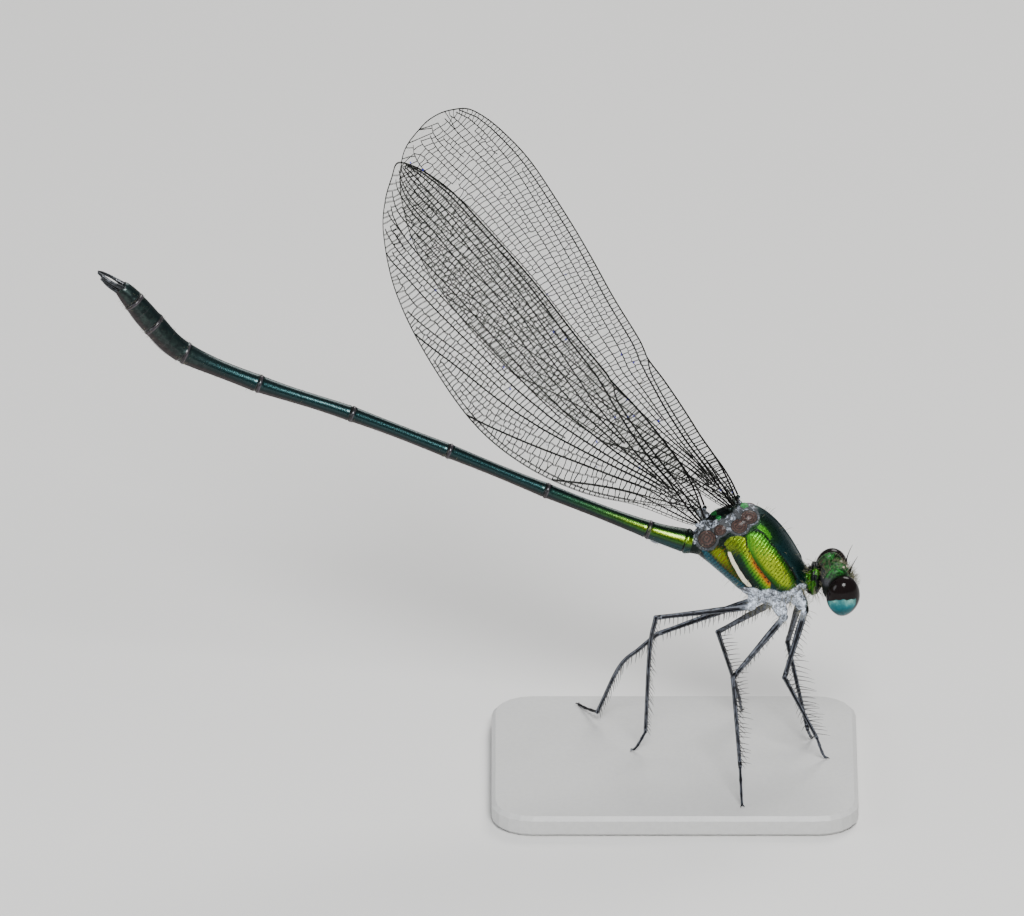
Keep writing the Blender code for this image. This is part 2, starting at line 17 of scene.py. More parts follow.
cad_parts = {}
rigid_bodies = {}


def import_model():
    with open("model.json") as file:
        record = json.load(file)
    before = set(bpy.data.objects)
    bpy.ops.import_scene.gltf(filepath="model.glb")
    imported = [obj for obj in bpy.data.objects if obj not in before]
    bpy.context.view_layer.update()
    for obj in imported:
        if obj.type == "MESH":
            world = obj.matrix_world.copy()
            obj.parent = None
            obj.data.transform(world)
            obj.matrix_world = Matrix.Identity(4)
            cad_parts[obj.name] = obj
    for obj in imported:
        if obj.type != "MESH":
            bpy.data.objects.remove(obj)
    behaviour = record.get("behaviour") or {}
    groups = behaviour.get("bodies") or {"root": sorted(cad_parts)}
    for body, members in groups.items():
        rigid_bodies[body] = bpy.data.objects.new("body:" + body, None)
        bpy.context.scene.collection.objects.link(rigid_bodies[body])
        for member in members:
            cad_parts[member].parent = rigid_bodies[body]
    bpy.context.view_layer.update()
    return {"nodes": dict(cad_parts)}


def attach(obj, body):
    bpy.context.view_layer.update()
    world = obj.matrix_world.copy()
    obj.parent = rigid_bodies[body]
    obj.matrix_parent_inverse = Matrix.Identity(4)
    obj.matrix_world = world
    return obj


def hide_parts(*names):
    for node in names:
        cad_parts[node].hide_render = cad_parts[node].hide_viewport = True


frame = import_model()

bl_info = {
    "name": "Flashwing damselfly",
    "version": (1, 0, 0),
    "blender": (4, 5, 0),
    "location": "View3D > Sidebar > Damselfly",
    "description": "Builds a life-size flashwing damselfly around its packed solids",
    "category": "Object",
}

# Places are in millimetres, as in the part's source: x forward, y to the insect's left and z up
# from its soles. MIDDLE is the part's own origin there, and MM turns a millimetre into metres.
MM = 0.001
MIDDLE = Vector((-17.70, -2.0, -1.9))
GAP = 0.3
DARK = (0.008, 0.010, 0.010)

# The camera: what it looks at, how far away it is, how high it stands and its lens
CAMERA_TARGET = Vector((-15.29, 0.0, 23.03))
CAMERA_DISTANCE = 1672.0
CAMERA_RISE = math.radians(25)
CAMERA_LENS = 800.0
SIDE_SLOPE = math.tan(CAMERA_RISE)

# Thorax and the ring before it, from the neck back: (x and z above, x and z below, half width)
NECK_AND_THORAX = (
    ((8.45, 13.45), (8.30, 12.60), 0.42),
    ((7.98, 13.62), (7.78, 12.62), 0.50),
    ((7.66, 13.80), (7.50, 12.60), 0.58),
    ((7.38, 14.38), (7.17, 12.10), 1.02),
    ((6.95, 14.58), (6.72, 12.00), 1.12),
    ((6.60, 14.20), (6.32, 12.35), 0.88),
    ((6.36, 14.20), (6.06, 12.40), 0.90),
    ((5.75, 15.50), (5.45, 11.70), 1.38),
    ((4.90, 16.98), (4.75, 11.22), 1.74),
    ((3.90, 18.22), (3.90, 11.18), 1.92),
    ((2.70, 19.07), (2.90, 11.52), 2.00),
    ((1.10, 19.22), (1.70, 12.32), 1.94),
    ((-0.30, 18.67), (0.40, 13.56), 1.74),
    ((-1.20, 17.78), (-0.90, 14.75), 1.32),
    ((-1.75, 17.20), (-1.58, 15.30), 0.95),
)
# Abdomen: the joints between its ten segments, (x, z, radius there), from the waist to the tail
ABDOMEN = (
    (-2.02, 16.18, 0.80),
    (-2.62, 16.35, 0.88),
    (-5.40, 17.28, 0.66),
    (-12.90, 20.46, 0.55),
    (-20.07, 23.66, 0.54),
    (-27.20, 26.66, 0.57),
    (-34.00, 29.10, 0.66),
    (-39.40, 31.60, 0.82),
    (-41.68, 33.95, 0.88),
    (-43.10, 35.80, 0.77),
    (-43.95, 36.85, 0.58),
)
SKIN_SIDES = 84
SKIN_SQUARENESS = 0.92
TOP_NARROWED = 0.10
THORAX_STEPS = 9
ABDOMEN_STEPS = 12
ABDOMEN_SPACING = 0.16
JOINT_RINGS = 11
JOINT_SPACING = 0.05
LONG_SEGMENTS = range(2, 7)
THORAX_END = -1.9
COLLAR_START = 6.2
# Relief of the skin: how far each plate rises, and grooves and rings as (place, width, rise)
PLATE_RISES = (("gold", 0.06), ("leaf", 0.05), ("olive", 0.04), ("cream", 0.03))
SUTURE_GROOVE = (0.0, 0.085, -0.075)
PAD_RISE = 0.11
PAD_GROOVE = (0.0, 0.10, -0.07)
EMERALD_RISE = 0.08
BACK_RIDGE = (0.0, 0.07, 0.07)
COLLAR_GROOVES = ((7.02, 0.07, -0.07), (6.66, 0.06, -0.07))
JOINT_RELIEF = ((-0.17, 0.13, 0.055), (0.0, 0.035, -0.055), (0.12, 0.10, 0.018))
FLANK_EDGE = (138, 5, 0.030)
WAIST_LOBE = (Vector((-4.55, 0.0, 16.42)), Vector((0.62, 0.30, 0.36)))

# Markings of the thorax, as outlines seen from the side and 25 degrees above: (x, height) pairs
MARKINGS = {
    "gold": ((1.93, 16.53), (2.28, 16.92), (2.99, 16.84), (3.66, 16.06), (4.64, 14.67), (5.34, 13.46),
             (5.50, 12.68), (5.11, 12.29), (4.40, 12.51), (3.85, 13.12), (3.15, 13.90), (2.60, 14.76),
             (2.24, 15.45), (2.01, 15.97)),
    "leaf": ((0.48, 16.06), (0.79, 16.40), (1.34, 16.53), (1.73, 16.40), (1.89, 15.71), (2.19, 14.93),
             (2.54, 14.07), (3.05, 13.40), (3.56, 12.77), (3.50, 12.42), (2.99, 12.42), (2.44, 13.20),
             (1.81, 14.07), (1.19, 15.02), (0.64, 15.71)),
    "cream": ((0.58, 15.56), (0.78, 15.40), (1.00, 14.84), (1.36, 14.10), (1.84, 13.30), (2.40, 12.62),
              (2.10, 12.56), (1.66, 13.00), (1.24, 13.76), (0.86, 14.50), (0.62, 15.12)),
    "olive": ((-0.85, 15.37), (-0.23, 15.84), (0.25, 15.71), (0.52, 15.28), (0.83, 14.41),
              (1.22, 13.64), (1.73, 12.86), (1.58, 12.73), (0.72, 13.64), (-0.15, 14.50), (-0.62, 15.11)),
    "teal": ((-1.24, 15.58), (-0.85, 15.28), (-0.15, 14.41), (0.72, 13.55), (1.73, 12.73), (1.66, 12.51),
             (1.34, 12.60), (0.56, 13.12), (-0.30, 13.98), (-1.01, 14.85)),
    # The streak is a painted highlight: a band of leaf green where light gleams on the back.
    "streak": ((2.71, 17.44), (2.99, 17.70), (3.38, 17.44), (3.77, 16.92), (3.89, 16.40), (3.62, 16.32),
               (3.30, 16.75), (2.83, 17.18)),
    "frost": ((-2.73, 15.25), (-2.11, 15.03), (-1.48, 14.76), (-0.30, 13.86), (0.56, 13.03),
              (1.34, 12.47), (2.28, 12.56), (2.99, 12.30), (3.77, 12.43), (4.48, 12.13), (5.18, 12.30),
              (5.65, 12.64), (5.95, 12.90), (6.40, 12.75), (6.40, 9.14), (-2.73, 9.14)),
}
SUTURES = (
    ((2.60, 17.25), (2.99, 17.10), (3.38, 16.75), (3.69, 16.14), (4.16, 15.63), (4.79, 14.67),
     (5.34, 13.90), (5.68, 13.20)),
    ((1.90, 16.60), (1.93, 16.20), (2.01, 15.80), (2.24, 15.15), (2.60, 14.38), (3.12, 13.60),
     (3.69, 12.80)),
    ((0.25, 16.06), (0.62, 15.45), (1.14, 14.85), (1.77, 13.85), (2.61, 12.60)),
)
# The leathery pads under the wings' roots: (x, height, radius along, radius across)
PADS = (
    (-0.95, 16.45, 0.66, 0.72),
    (0.01, 17.18, 0.44, 0.44),
    (1.41, 17.50, 0.60, 0.58),
    (2.15, 18.24, 0.60, 0.56),
)
EMERALDS = ((1.81, 19.20, 0.34, 0.30), (-0.46, 18.57, 0.30, 0.26), (-0.12, 18.20, 0.24, 0.24))

# Head: its middle, how far it is turned to the left and leans to the right
HEAD_MIDDLE = Vector((8.66, -0.05, 12.95))
HEAD_TURN = math.radians(14)
HEAD_LEAN = math.radians(-11)
# Plates of the head, in its own directions: (middle, half axes), twice where y isn't zero
HEAD_PLATES = {
    "skull": ((-0.10, 0.0, -0.02), (0.98, 1.40, 1.28)),
    "crown": ((-0.22, 0.0, 0.60), (1.20, 1.28, 1.14)),
    "socket": ((-0.34, 0.98, 0.54), (1.08, 0.62, 1.50)),
    "nape": ((-0.62, 0.50, 0.40), (0.50, 0.66, 0.80)),
    "back": ((-0.60, 0.0, -0.10), (0.52, 0.86, 0.80)),
    "brow": ((0.56, 0.0, 0.42), (0.56, 0.86, 0.50)),
    "nose": ((0.84, 0.0, -0.12), (0.50, 0.74, 0.36)),
    "clypeus": ((0.92, 0.0, -0.50), (0.36, 0.60, 0.20)),
    "lip": ((0.90, 0.0, -0.84), (0.40, 0.62, 0.28)),
    "jaw": ((0.56, 0.68, -0.78), (0.38, 0.26, 0.40)),
    "cheek": ((0.34, 0.84, -0.34), (0.46, 0.30, 0.62)),
    "chin": ((0.36, 0.0, -1.20), (0.62, 0.50, 0.34)),
    "palp": ((0.72, 0.26, -1.16), (0.30, 0.25, 0.22)),
}
HEAD_GRAIN = 0.036
HEAD_SMOOTHINGS = 4
PLATE_CREASE = (0.0, 0.035, -0.045)
EYE_OUT = 1.75
EYE_HALF = Vector((1.26, 1.10, 1.70))
EYE_NARROWED = 0.20
# The border between the eye's two colours: its height, and how fast it rises outwards
EYE_BORDER = (-0.244, 0.646)
EYE_RIM_LEAN = 0.35
OCELLI = (((0.30, 0.34, 1.56), 0.11), ((0.30, -0.34, 1.56), 0.11), ((0.66, 0.0, 1.34), 0.11))
FEELER_ROOT = Vector((0.62, 0.50, 0.88))
FEELER_PATH = (
    ((0.0, 0.0, -0.10), 0.15), ((0.03, 0.02, 0.10), 0.15), ((0.06, 0.04, 0.20), 0.10),
    ((0.10, 0.07, 0.42), 0.095), ((0.15, 0.10, 0.62), 0.08), ((0.17, 0.11, 0.66), 0.045),
    ((0.26, 0.16, 1.02), 0.034), ((0.40, 0.21, 1.42), 0.026), ((0.60, 0.26, 1.86), 0.012),
)

# Legs: hip, knee, any bend in the shin, ankle and foot, as in the part's source
LEGS = {
    "front_left": ((6.00, 0.75, 11.35), (5.07, 2.60, 6.82), (), (6.54, -0.20, 1.00), (6.91, 0.87)),
    "front_right": ((6.35, -0.85, 11.25), (4.78, -3.40, 6.78), (), (7.20, -3.00, 1.64), (7.86, -2.60)),
    "mid_left": ((4.00, 1.15, 10.80), (-0.07, 3.60, 7.16), ((0.96, 4.10, 3.53),),
                 (1.54, 4.60, 1.26), (1.76, 5.57)),
    "mid_right": ((4.80, -1.15, 10.70), (0.96, -5.20, 7.62), (), (1.47, -9.60, 2.45), (1.62, -10.60)),
    "hind_left": ((2.60, 1.15, 11.00), (-4.56, 2.00, 7.75), ((-5.88, 2.30, 6.40), (-7.35, 2.85, 4.67)),
                  (-8.97, 3.70, 0.55), (-10.36, 6.60)),
    "hind_right": ((2.45, -1.15, 11.50), (-4.70, -2.80, 11.37), ((-5.15, -2.35, 8.55),),
                   (-5.44, -1.22, 1.30), (-6.32, -1.22)),
}
HIP_ROOTS = {"front": Vector((5.3, 0.35, 12.6)), "mid": Vector((4.0, 0.55, 12.4)),
             "hind": Vector((2.9, 0.55, 12.6))}
HIP_RADII = (0.80, 0.66, 0.52, 0.40)
FEMUR_RADII = (0.22, 0.25, 0.24, 0.21, 0.19, 0.17, 0.19)
TIBIA_RADII = (0.17, 0.150, 0.145, 0.14, 0.135, 0.13, 0.135)
TARSUS_RADII = (0.115, 0.10, 0.125, 0.095, 0.12, 0.09, 0.105)
LEG_SIDES = 20
FLOOR_UNDER_FEET = -GAP
SPINE_SEED = 7
SPINE_RADIUS = 0.029
SPINE_ROWS = math.radians(50)
# Spines by leg pair and limb: (length, spacing, lean towards the foot in degrees)
SPINES = {
    "front_femur": (0.75, 0.34, 20), "front_tibia": (1.30, 0.36, 18),
    "mid_femur": (0.65, 0.36, 22), "mid_tibia": (1.30, 0.36, 16),
    "hind_femur": (0.72, 0.34, 12), "hind_tibia": (0.80, 0.33, 42),
}

# Claspers: the tip of the upper pair, then each pair's place out and up on the last segment's end
CLASPER_TIP = Vector((-45.62, 0, 38.07))
CLASPER_ROOT = (0.34, 0.24)
CLASPER_BOW = (0.0, 0.05, 0.12, 0.13, 0.06, -0.08, -0.24)
CLASPER_RADII = (0.19, 0.18, 0.14, 0.12, 0.12, 0.13, 0.08)
LOWER_CLASPER_TIP = Vector((-45.42, 0, 37.62))
LOWER_CLASPER_ROOT = (0.20, -0.40)
LOWER_CLASPER_RADII = (0.15, 0.14, 0.11, 0.06)

# Wings: root, way to the tip as an angle above the floor, distance from the middle, and the rim from
# the root out along the front edge, round the tip and back, each point (along the wing, ahead of its
# axis)
WINGS = {
    "forewing": {
        "root": Vector((0.92, 0.75, 19.49)), "rise": math.radians(56.9), "spread": 0.035,
        "front": ((0.0, 0.45), (1.4, 0.72), (2.8, 0.88), (4.2, 0.92), (5.8, 0.93), (7.3, 1.02),
                  (9.2, 1.10), (11.1, 1.13), (13.0, 1.08), (13.9, 1.25), (15.0, 1.42), (18.6, 1.66),
                  (22.0, 2.04), (25.2, 2.32), (29.8, 2.54), (32.0, 2.48), (34.0, 2.18), (35.6, 1.78)),
        "tip": ((37.0, 1.11), (37.62, 0.17), (37.95, -1.10), (37.75, -2.65), (36.6, -5.00)),
        "rear": ((33.5, -7.10), (28.5, -8.50), (21.5, -8.45), (15.0, -7.25), (9.0, -5.15),
                 (4.0, -2.45), (0.0, -0.50)),
    },
    "hindwing": {
        "root": Vector((-1.52, 1.15, 18.42)), "rise": math.radians(54.5), "spread": 0.085,
        "front": ((0.0, 0.45), (2.0, 1.02), (4.2, 1.28), (6.5, 1.34), (9.5, 1.28), (12.6, 1.02),
                  (13.4, 1.08), (17.0, 1.00), (21.6, 1.04), (25.0, 0.90), (28.1, 0.68), (31.5, 0.40)),
        "tip": ((34.0, -0.25), (35.4, -0.95), (35.95, -1.60), (35.3, -2.50), (34.0, -4.05)),
        "rear": ((31.9, -5.70), (27.8, -7.60), (22.6, -8.75), (16.0, -9.20), (11.0, -8.20),
                 (6.6, -6.00), (3.2, -3.10), (0.0, -0.55)),
    },
}
WING_SPREAD_LENGTH = 4.2
FILM_THICKNESS = 0.014
FILM_GRID = (150, 26)
# Long veins, each through points (share of the wing's length, share of the way from the front edge
# to the rear edge), with its half thickness at the root, at the node and at its end
LONG_VEINS = (
    (((0.0, 0.26), (0.03, 0.27), (0.06, 0.25), (0.11, 0.21), (0.17, 0.165), (0.25, 0.12), (0.31, 0.07),
      (0.345, 0.0)), (0.060, 0.045, 0.036)),
    (((0.0, 0.42), (0.03, 0.41), (0.06, 0.37), (0.11, 0.30), (0.17, 0.235), (0.25, 0.17), (0.31, 0.115),
      (0.36, 0.075), (0.50, 0.055), (0.70, 0.045), (0.985, 0.05)), (0.080, 0.050, 0.034)),
    (((0.055, 0.42), (0.075, 0.43), (0.12, 0.36), (0.20, 0.29), (0.35, 0.21), (0.50, 0.155),
      (0.75, 0.125), (0.985, 0.12)), (0.060, 0.040, 0.030)),
    (((0.22, 0.30), (0.30, 0.285), (0.45, 0.255), (0.60, 0.235), (0.80, 0.24), (0.985, 0.34)),
     (0.050, 0.036, 0.028)),
    (((0.12, 0.385), (0.20, 0.36), (0.35, 0.345), (0.50, 0.345), (0.65, 0.355), (0.82, 0.42),
      (0.970, 0.62)), (0.050, 0.036, 0.028)),
    (((0.075, 0.44), (0.12, 0.41), (0.20, 0.42), (0.35, 0.44), (0.55, 0.49), (0.75, 0.60), (0.93, 0.86)),
     (0.055, 0.040, 0.028)),
    (((0.055, 0.50), (0.08, 0.48), (0.13, 0.47), (0.22, 0.50), (0.38, 0.56), (0.58, 0.67), (0.76, 0.83),
      (0.85, 1.0)), (0.055, 0.042, 0.028)),
    (((0.058, 0.60), (0.09, 0.545), (0.15, 0.54), (0.24, 0.59), (0.38, 0.69), (0.54, 0.83), (0.67, 1.0)),
     (0.060, 0.042, 0.028)),
    (((0.0, 0.60), (0.03, 0.63), (0.058, 0.64), (0.10, 0.63), (0.16, 0.65), (0.25, 0.73), (0.36, 0.86),
      (0.46, 1.0)), (0.062, 0.042, 0.030)),
    (((0.0, 0.72), (0.03, 0.78), (0.07, 0.80), (0.12, 0.79), (0.17, 0.84), (0.24, 1.0)),
     (0.070, 0.040, 0.030)),
    (((0.50, 0.298), (0.62, 0.292), (0.76, 0.325), (0.88, 0.415), (0.985, 0.60)), (0.030, 0.030, 0.026)),
    (((0.40, 0.392), (0.54, 0.405), (0.68, 0.455), (0.82, 0.56), (0.955, 0.84)), (0.030, 0.030, 0.026)),
    (((0.34, 0.495), (0.48, 0.530), (0.62, 0.60), (0.76, 0.72), (0.895, 0.97)), (0.030, 0.030, 0.026)),
    (((0.30, 0.600), (0.42, 0.655), (0.56, 0.755), (0.72, 0.97)), (0.030, 0.030, 0.026)),
    (((0.66, 0.180), (0.78, 0.182), (0.90, 0.215), (0.985, 0.24)), (0.028, 0.028, 0.026)),
    (((0.80, 0.280), (0.88, 0.330), (0.94, 0.40), (0.985, 0.48)), (0.026, 0.026, 0.024)),
    (((0.86, 0.510), (0.92, 0.600), (0.972, 0.76)), (0.026, 0.026, 0.024)),
    (((0.83, 0.700), (0.88, 0.790), (0.925, 0.92)), (0.026, 0.026, 0.024)),
    (((0.0, 0.86), (0.03, 0.91), (0.07, 0.93), (0.13, 0.945), (0.24, 0.955), (0.40, 0.965),
      (0.60, 0.972)), (0.045, 0.026, 0.024)),
)
ARCULUS = (((0.055, 0.40), (0.056, 0.50), (0.062, 0.64)), (0.055, 0.055, 0.055))
NODE_SHARE = 0.35
CELL_LENGTH = 0.40
CELL_WIDTH = 0.80
# Short long veins that halve the wide rows of cells: where they start, their fewest cells and size
HALVING_ROUNDS = 4
HALVING_START = 0.16
HALVING_CELLS = 5
HALVING_ZIGZAG = 0.035
HALVING_RADIUS = 0.024
CROSS_VEIN_RADIUS = 0.022
RIM_RADII = (0.075, 0.034, 0.026)

# Hairs of the body, and bristles by plate of the head: (plate, how many, length)
HAIR_SEED = 21
BRISTLE_SEED = 5
BRISTLES = (("brow", 170, 0.52), ("nose", 130, 0.44), ("lip", 100, 0.34), ("crown", 260, 0.24),
            ("nape", 120, 0.24), ("socket", 160, 0.20), ("chin", 40, 0.24), ("jaw", 40, 0.22))
BRISTLE_RADII = (0.014, 0.011, 0.008, 0.003)
BRISTLE_REACH_OUT = 1.0

# Stage, in metres: half the floor's width, and lights as (name, place, size, power, tint)
FLOOR_HALF = 3.0
SKY = (0.92, 0.95, 1.0, 1.0)
SKY_STRENGTH = 0.30
LIGHTS = (
    ("key", (0.07, -0.34, 0.36), 0.20, 3.8, (1, 1, 1)),
    ("side", (-0.40, -0.14, 0.16), 0.20, 0.7, (0.93, 0.96, 1.0)),
    ("rim", (0.16, 0.34, 0.40), 0.30, 2.2, (1.0, 0.98, 0.95)),
)


class Tones(bpy.types.PropertyGroup):
    """The colours of the damselfly's finishes."""


class Measures(bpy.types.PropertyGroup):
    """The sizes that a user would change."""


def tone(name, description, default):
    """A colour property."""
    return bpy.props.FloatVectorProperty(
        name=name, description=description, default=default, subtype="COLOR", size=3, min=0, max=1)


Tones.__annotations__ = {
    "gold": tone("Gold green", "The bright plates on the side of the thorax", (0.31, 0.42, 0.004)),
    "leaf": tone("Leaf green", "The greener plates and the glints of the abdomen", (0.040, 0.190, 0.008)),
    "ember": tone("Ember", "The orange lower end of the second plate", (0.44, 0.095, 0.004)),
    "teal": tone("Teal", "The blue-green of the back and lower sides", (0.004, 0.028, 0.030)),
    "night": tone("Night green", "The darkest green of the back and abdomen", (0.002, 0.012, 0.007)),
    "cream": tone("Cream", "The pale stripe on the side", (0.66, 0.62, 0.47)),
    "frost": tone("Frost", "The waxy bloom of the underside and hips", (0.36, 0.40, 0.47)),
    "leather": tone("Leather", "The pads under the wings' roots", (0.046, 0.0205, 0.0150)),
    "umber": tone("Umber", "The brown of the abdomen's joints and underside", (0.018, 0.012, 0.013)),
    "eye_top": tone("Eye above", "The dark upper part of each eye", (0.006, 0.004, 0.004)),
    "eye_low": tone("Eye below", "The turquoise lower part of each eye", (0.006, 0.165, 0.200)),
    "leg": tone("Leg", "The dark of the legs", (0.0065, 0.0070, 0.0090)),
    "bloom": tone("Bloom", "The pale bloom along the legs", (0.105, 0.115, 0.140)),
    "vein": tone("Vein", "The veins of the wings", (0.0030, 0.0030, 0.0028)),
    "film": tone("Film", "The clear skin between the veins", (0.16, 0.17, 0.15)),
    "hair": tone("Hair", "The pale hairs of the body", (0.17, 0.16, 0.095)),
    "plate": tone("Plate", "The base plate", (0.50, 0.50, 0.49)),
    "floor": tone("Floor", "The floor of the stage", (0.68, 0.675, 0.66)),
}
Measures.__annotations__ = {
    "hair_length": bpy.props.FloatProperty(
        name="Hair length", description="How long the hairs of the thorax are",
        default=0.00062, min=0.0001, max=0.002, unit="LENGTH"),
    "cell_length": bpy.props.FloatProperty(
        name="Cell length", description="How far apart the cross veins of a wing stand",
        default=CELL_LENGTH * MM, min=0.0002, max=0.002, unit="LENGTH"),
    "film_alpha": bpy.props.FloatProperty(
        name="Film cover", description="How much of the light each face of a wing's film stops",
        default=0.050, min=0.0, max=1.0, subtype="FACTOR"),
}


def tones():
    """The scene's colours."""
    return bpy.context.scene.damselfly_tones


def measures():
    """The scene's sizes."""
    return bpy.context.scene.damselfly_measures


def toned(colour, share):
    """A colour made darker or brighter."""
    return tuple(part * share for part in colour)


class Socket:
    """A node's output, with Python's operators as Math nodes."""

    def __init__(self, finish, socket):
        self.finish, self.socket = finish, socket

    def math(self, operation, *values):
        """A Math node on these values."""
        return self.finish.node("ShaderNodeMath", {"operation": operation}, dict(enumerate(values)))

    def __add__(self, other):
        return self.math("ADD", self, other)

    def __sub__(self, other):
        return self.math("SUBTRACT", self, other)

    def __rsub__(self, other):
        return self.math("SUBTRACT", other, self)

    def __mul__(self, other):
        return self.math("MULTIPLY", self, other)

    def __abs__(self):
        return self.math("ABSOLUTE", self)

    __radd__ = __add__
    __rmul__ = __mul__

    def sine(self):
        """The value's sine."""
        return self.math("SINE", self)

    def most(self, other):
        """The larger of two values."""
        return self.math("MAXIMUM", self, other)

    def least(self, other):
        """The smaller of two values."""
        return self.math("MINIMUM", self, other)

    def between(self, low, high, start=0.0, end=1.0):
        """A smooth step from start to end as the value goes from low to high."""
        return self.finish.node("ShaderNodeMapRange", {"interpolation_type": "SMOOTHSTEP"},
                                {0: self, 1: low, 2: high, 3: start, 4: end})


class Finish:
    """One material, and the nodes that make it."""

    def __init__(self, name):
        self.material = bpy.data.materials.new(name)
        self.material.use_nodes = True
        self.tree = self.material.node_tree
        self.tree.nodes.clear()
        self.at = None

    def node(self, kind, settings=None, values=None, output=0):
        """A node of a type, with its settings, then its sockets' values or links."""
        made = self.tree.nodes.new(kind)
        for key, value in (settings or {}).items():
            setattr(made, key, value)
        for key, value in (values or {}).items():
            if isinstance(value, Socket):
                self.tree.links.new(value.socket, made.inputs[key])
            elif made.inputs[key].type == "RGBA":
                made.inputs[key].default_value = (*value[:3], 1.0)
            else:
                made.inputs[key].default_value = value
        return Socket(self, made.outputs[output]) if len(made.outputs) else None

    def place(self):
        """Where the surface is, in millimetres."""
        if self.at is None:
            spot = self.node("ShaderNodeTexCoord", output="Object")
            self.at = self.node("ShaderNodeVectorMath", {"operation": "SCALE"}, {0: spot, "Scale": 1 / MM})
        return self.at

    def measured(self):
        """How far ahead and how high the surface is, in the millimetres of the tables above."""
        spot = self.node("ShaderNodeVectorMath", {"operation": "ADD"}, {0: self.place(), 1: MIDDLE})
        return [self.node("ShaderNodeSeparateXYZ", None, {0: spot}, axis) for axis in "XZ"]

    def stretched(self, scale, turn=(0, 0, 0)):
        """The place, turned and then stretched."""
        values = {"Vector": self.place(), "Rotation": turn, "Scale": scale}
        return self.node("ShaderNodeMapping", None, values)

    def own(self, name):
        """A value that the mesh holds at each point."""
        return self.node("ShaderNodeAttribute", {"attribute_name": name}, output="Fac")

    def noise(self, scale, detail=3.0, rough=0.55):
        """Cloudy noise from 0 to 1, with its scale in waves to a millimetre."""
        values = {"Vector": self.place(), "Scale": scale, "Detail": detail, "Roughness": rough}
        return self.node("ShaderNodeTexNoise", None, values)

    def cells(self, scale, at=None, output=0):
        """Voronoi cells: the distance to the nearest point, or its colour."""
        values = {"Vector": at or self.place(), "Scale": scale}
        return self.node("ShaderNodeTexVoronoi", None, values, output)

    def mix(self, share, first, second):
        """A colour between two."""
        return self.node("ShaderNodeMix", {"data_type": "RGBA"}, {0: share, 6: first, 7: second}, 2)

    def bump(self, height, distance, strength):
        """A normal from a height, with its distance in millimetres."""
        values = {"Height": height, "Distance": distance * MM, "Strength": strength}
        return self.node("ShaderNodeBump", None, values)

    def shade(self, **values):
        """The Principled shader and the output, with sockets named in words."""
        names = {key.replace("_", " "): value for key, value in values.items()}
        shader = self.node("ShaderNodeBsdfPrincipled", None, names)
        self.node("ShaderNodeOutputMaterial", None, {"Surface": shader})
        return self.material


def spread_over(values, share):
    """The value at a share from 0 to 1 along evenly spaced values."""
    place = min(max(share, 0.0), 1.0) * (len(values) - 1)
    step = min(int(place), len(values) - 2)
    return values[step] + (values[step + 1] - values[step]) * (place - step)


def curve_through(points, steps):
    """Points on a smooth curve through the given points, with some steps between each two."""
    points = [Vector(point) for point in points]
    ends = [points[0] * 2 - points[1], *points, points[-1] * 2 - points[-2]]
    made = []
    for a, b, c, d in zip(ends, ends[1:], ends[2:], ends[3:]):
        for step in range(steps):
            t = step / steps
            made.append((b * 2 + (c - a) * t + (a * 2 - b * 5 + c * 4 - d) * t**2
                         + (b * 3 - a - c * 3 + d) * t**3) / 2)
    return [*made, points[-1]]


def mirrored(place, side):
    """A place given for the left side, on the side asked for."""
    return Vector((place[0], place[1] * side, place[2]))


def loft(rings):
    """A closed bmesh through rings of places: a grid bent round them, sewn and capped."""
    sides, count = len(rings[0]), len(rings)
    bm = bmesh.new()
    bmesh.ops.create_grid(bm, x_segments=count - 1, y_segments=sides, size=1.0)
    for vert in bm.verts:
        ring = round((vert.co.x + 1) / 2 * (count - 1))
        turn = round((vert.co.y + 1) / 2 * sides) % sides
        vert.co = rings[ring][turn]
    bmesh.ops.remove_doubles(bm, verts=bm.verts, dist=1e-6)
    bmesh.ops.holes_fill(bm, edges=[edge for edge in bm.edges if edge.is_boundary], sides=0)
    bmesh.ops.recalc_face_normals(bm, faces=bm.faces)
    return bm


def lengths_of(path):
    """How far along a path each of its places is."""
    return list(accumulate(((far - near).length for near, far in zip(path, path[1:])), initial=0.0))


def ways_along(path):
    """The direction of a path at each of its places."""
    last = len(path) - 1
    return [(path[min(n + 1, last)] - path[max(n - 1, 0)]).normalized() for n in range(last + 1)]


def limb(path, radii, sides, keel=0.0):
    """A closed tube along a path with rounded ends, and four faint keels along it."""
    ways = ways_along(path)
    lengths = lengths_of(path)
    side = ways[0].cross(Vector((0.1, 1, 0.05))).normalized()
    rings = []
    for place, way, length in zip(path, ways, lengths):
        side = (side - way * side.dot(way)).normalized()
        over = way.cross(side)
        radius = spread_over(radii, length / lengths[-1])
        room = min(length, lengths[-1] - length)
        if room < radius:
            radius *= math.sqrt(max(0.0, 1 - (1 - room / radius) ** 2)) * 0.96 + 0.04
        ring = []
        for n in range(sides):
            turn = 2 * math.pi * n / sides
            grown = radius * (1 + keel * math.cos(4 * turn))
            ring.append(place + side * math.cos(turn) * grown + over * math.sin(turn) * grown)
        rings.append(ring)
    return loft(rings)


def finely(path, spacing):
    """A path's places at an even spacing, closer together at its two ends."""
    lengths = lengths_of(path)
    total = lengths[-1]
    count = max(6, round(total / spacing))
    wanted = [0.0, 0.02, 0.06, 0.12] + [0.12 + (total - 0.24) * n / count for n in range(1, count)]
    wanted += [total - 0.12, total - 0.06, total - 0.02, total]
    made, step = [], 0
    for want in wanted:
        while step < len(path) - 2 and lengths[step + 1] < want:
            step += 1
        share = (want - lengths[step]) / (lengths[step + 1] - lengths[step])
        made.append(path[step].lerp(path[step + 1], min(max(share, 0.0), 1.0)))
    return made


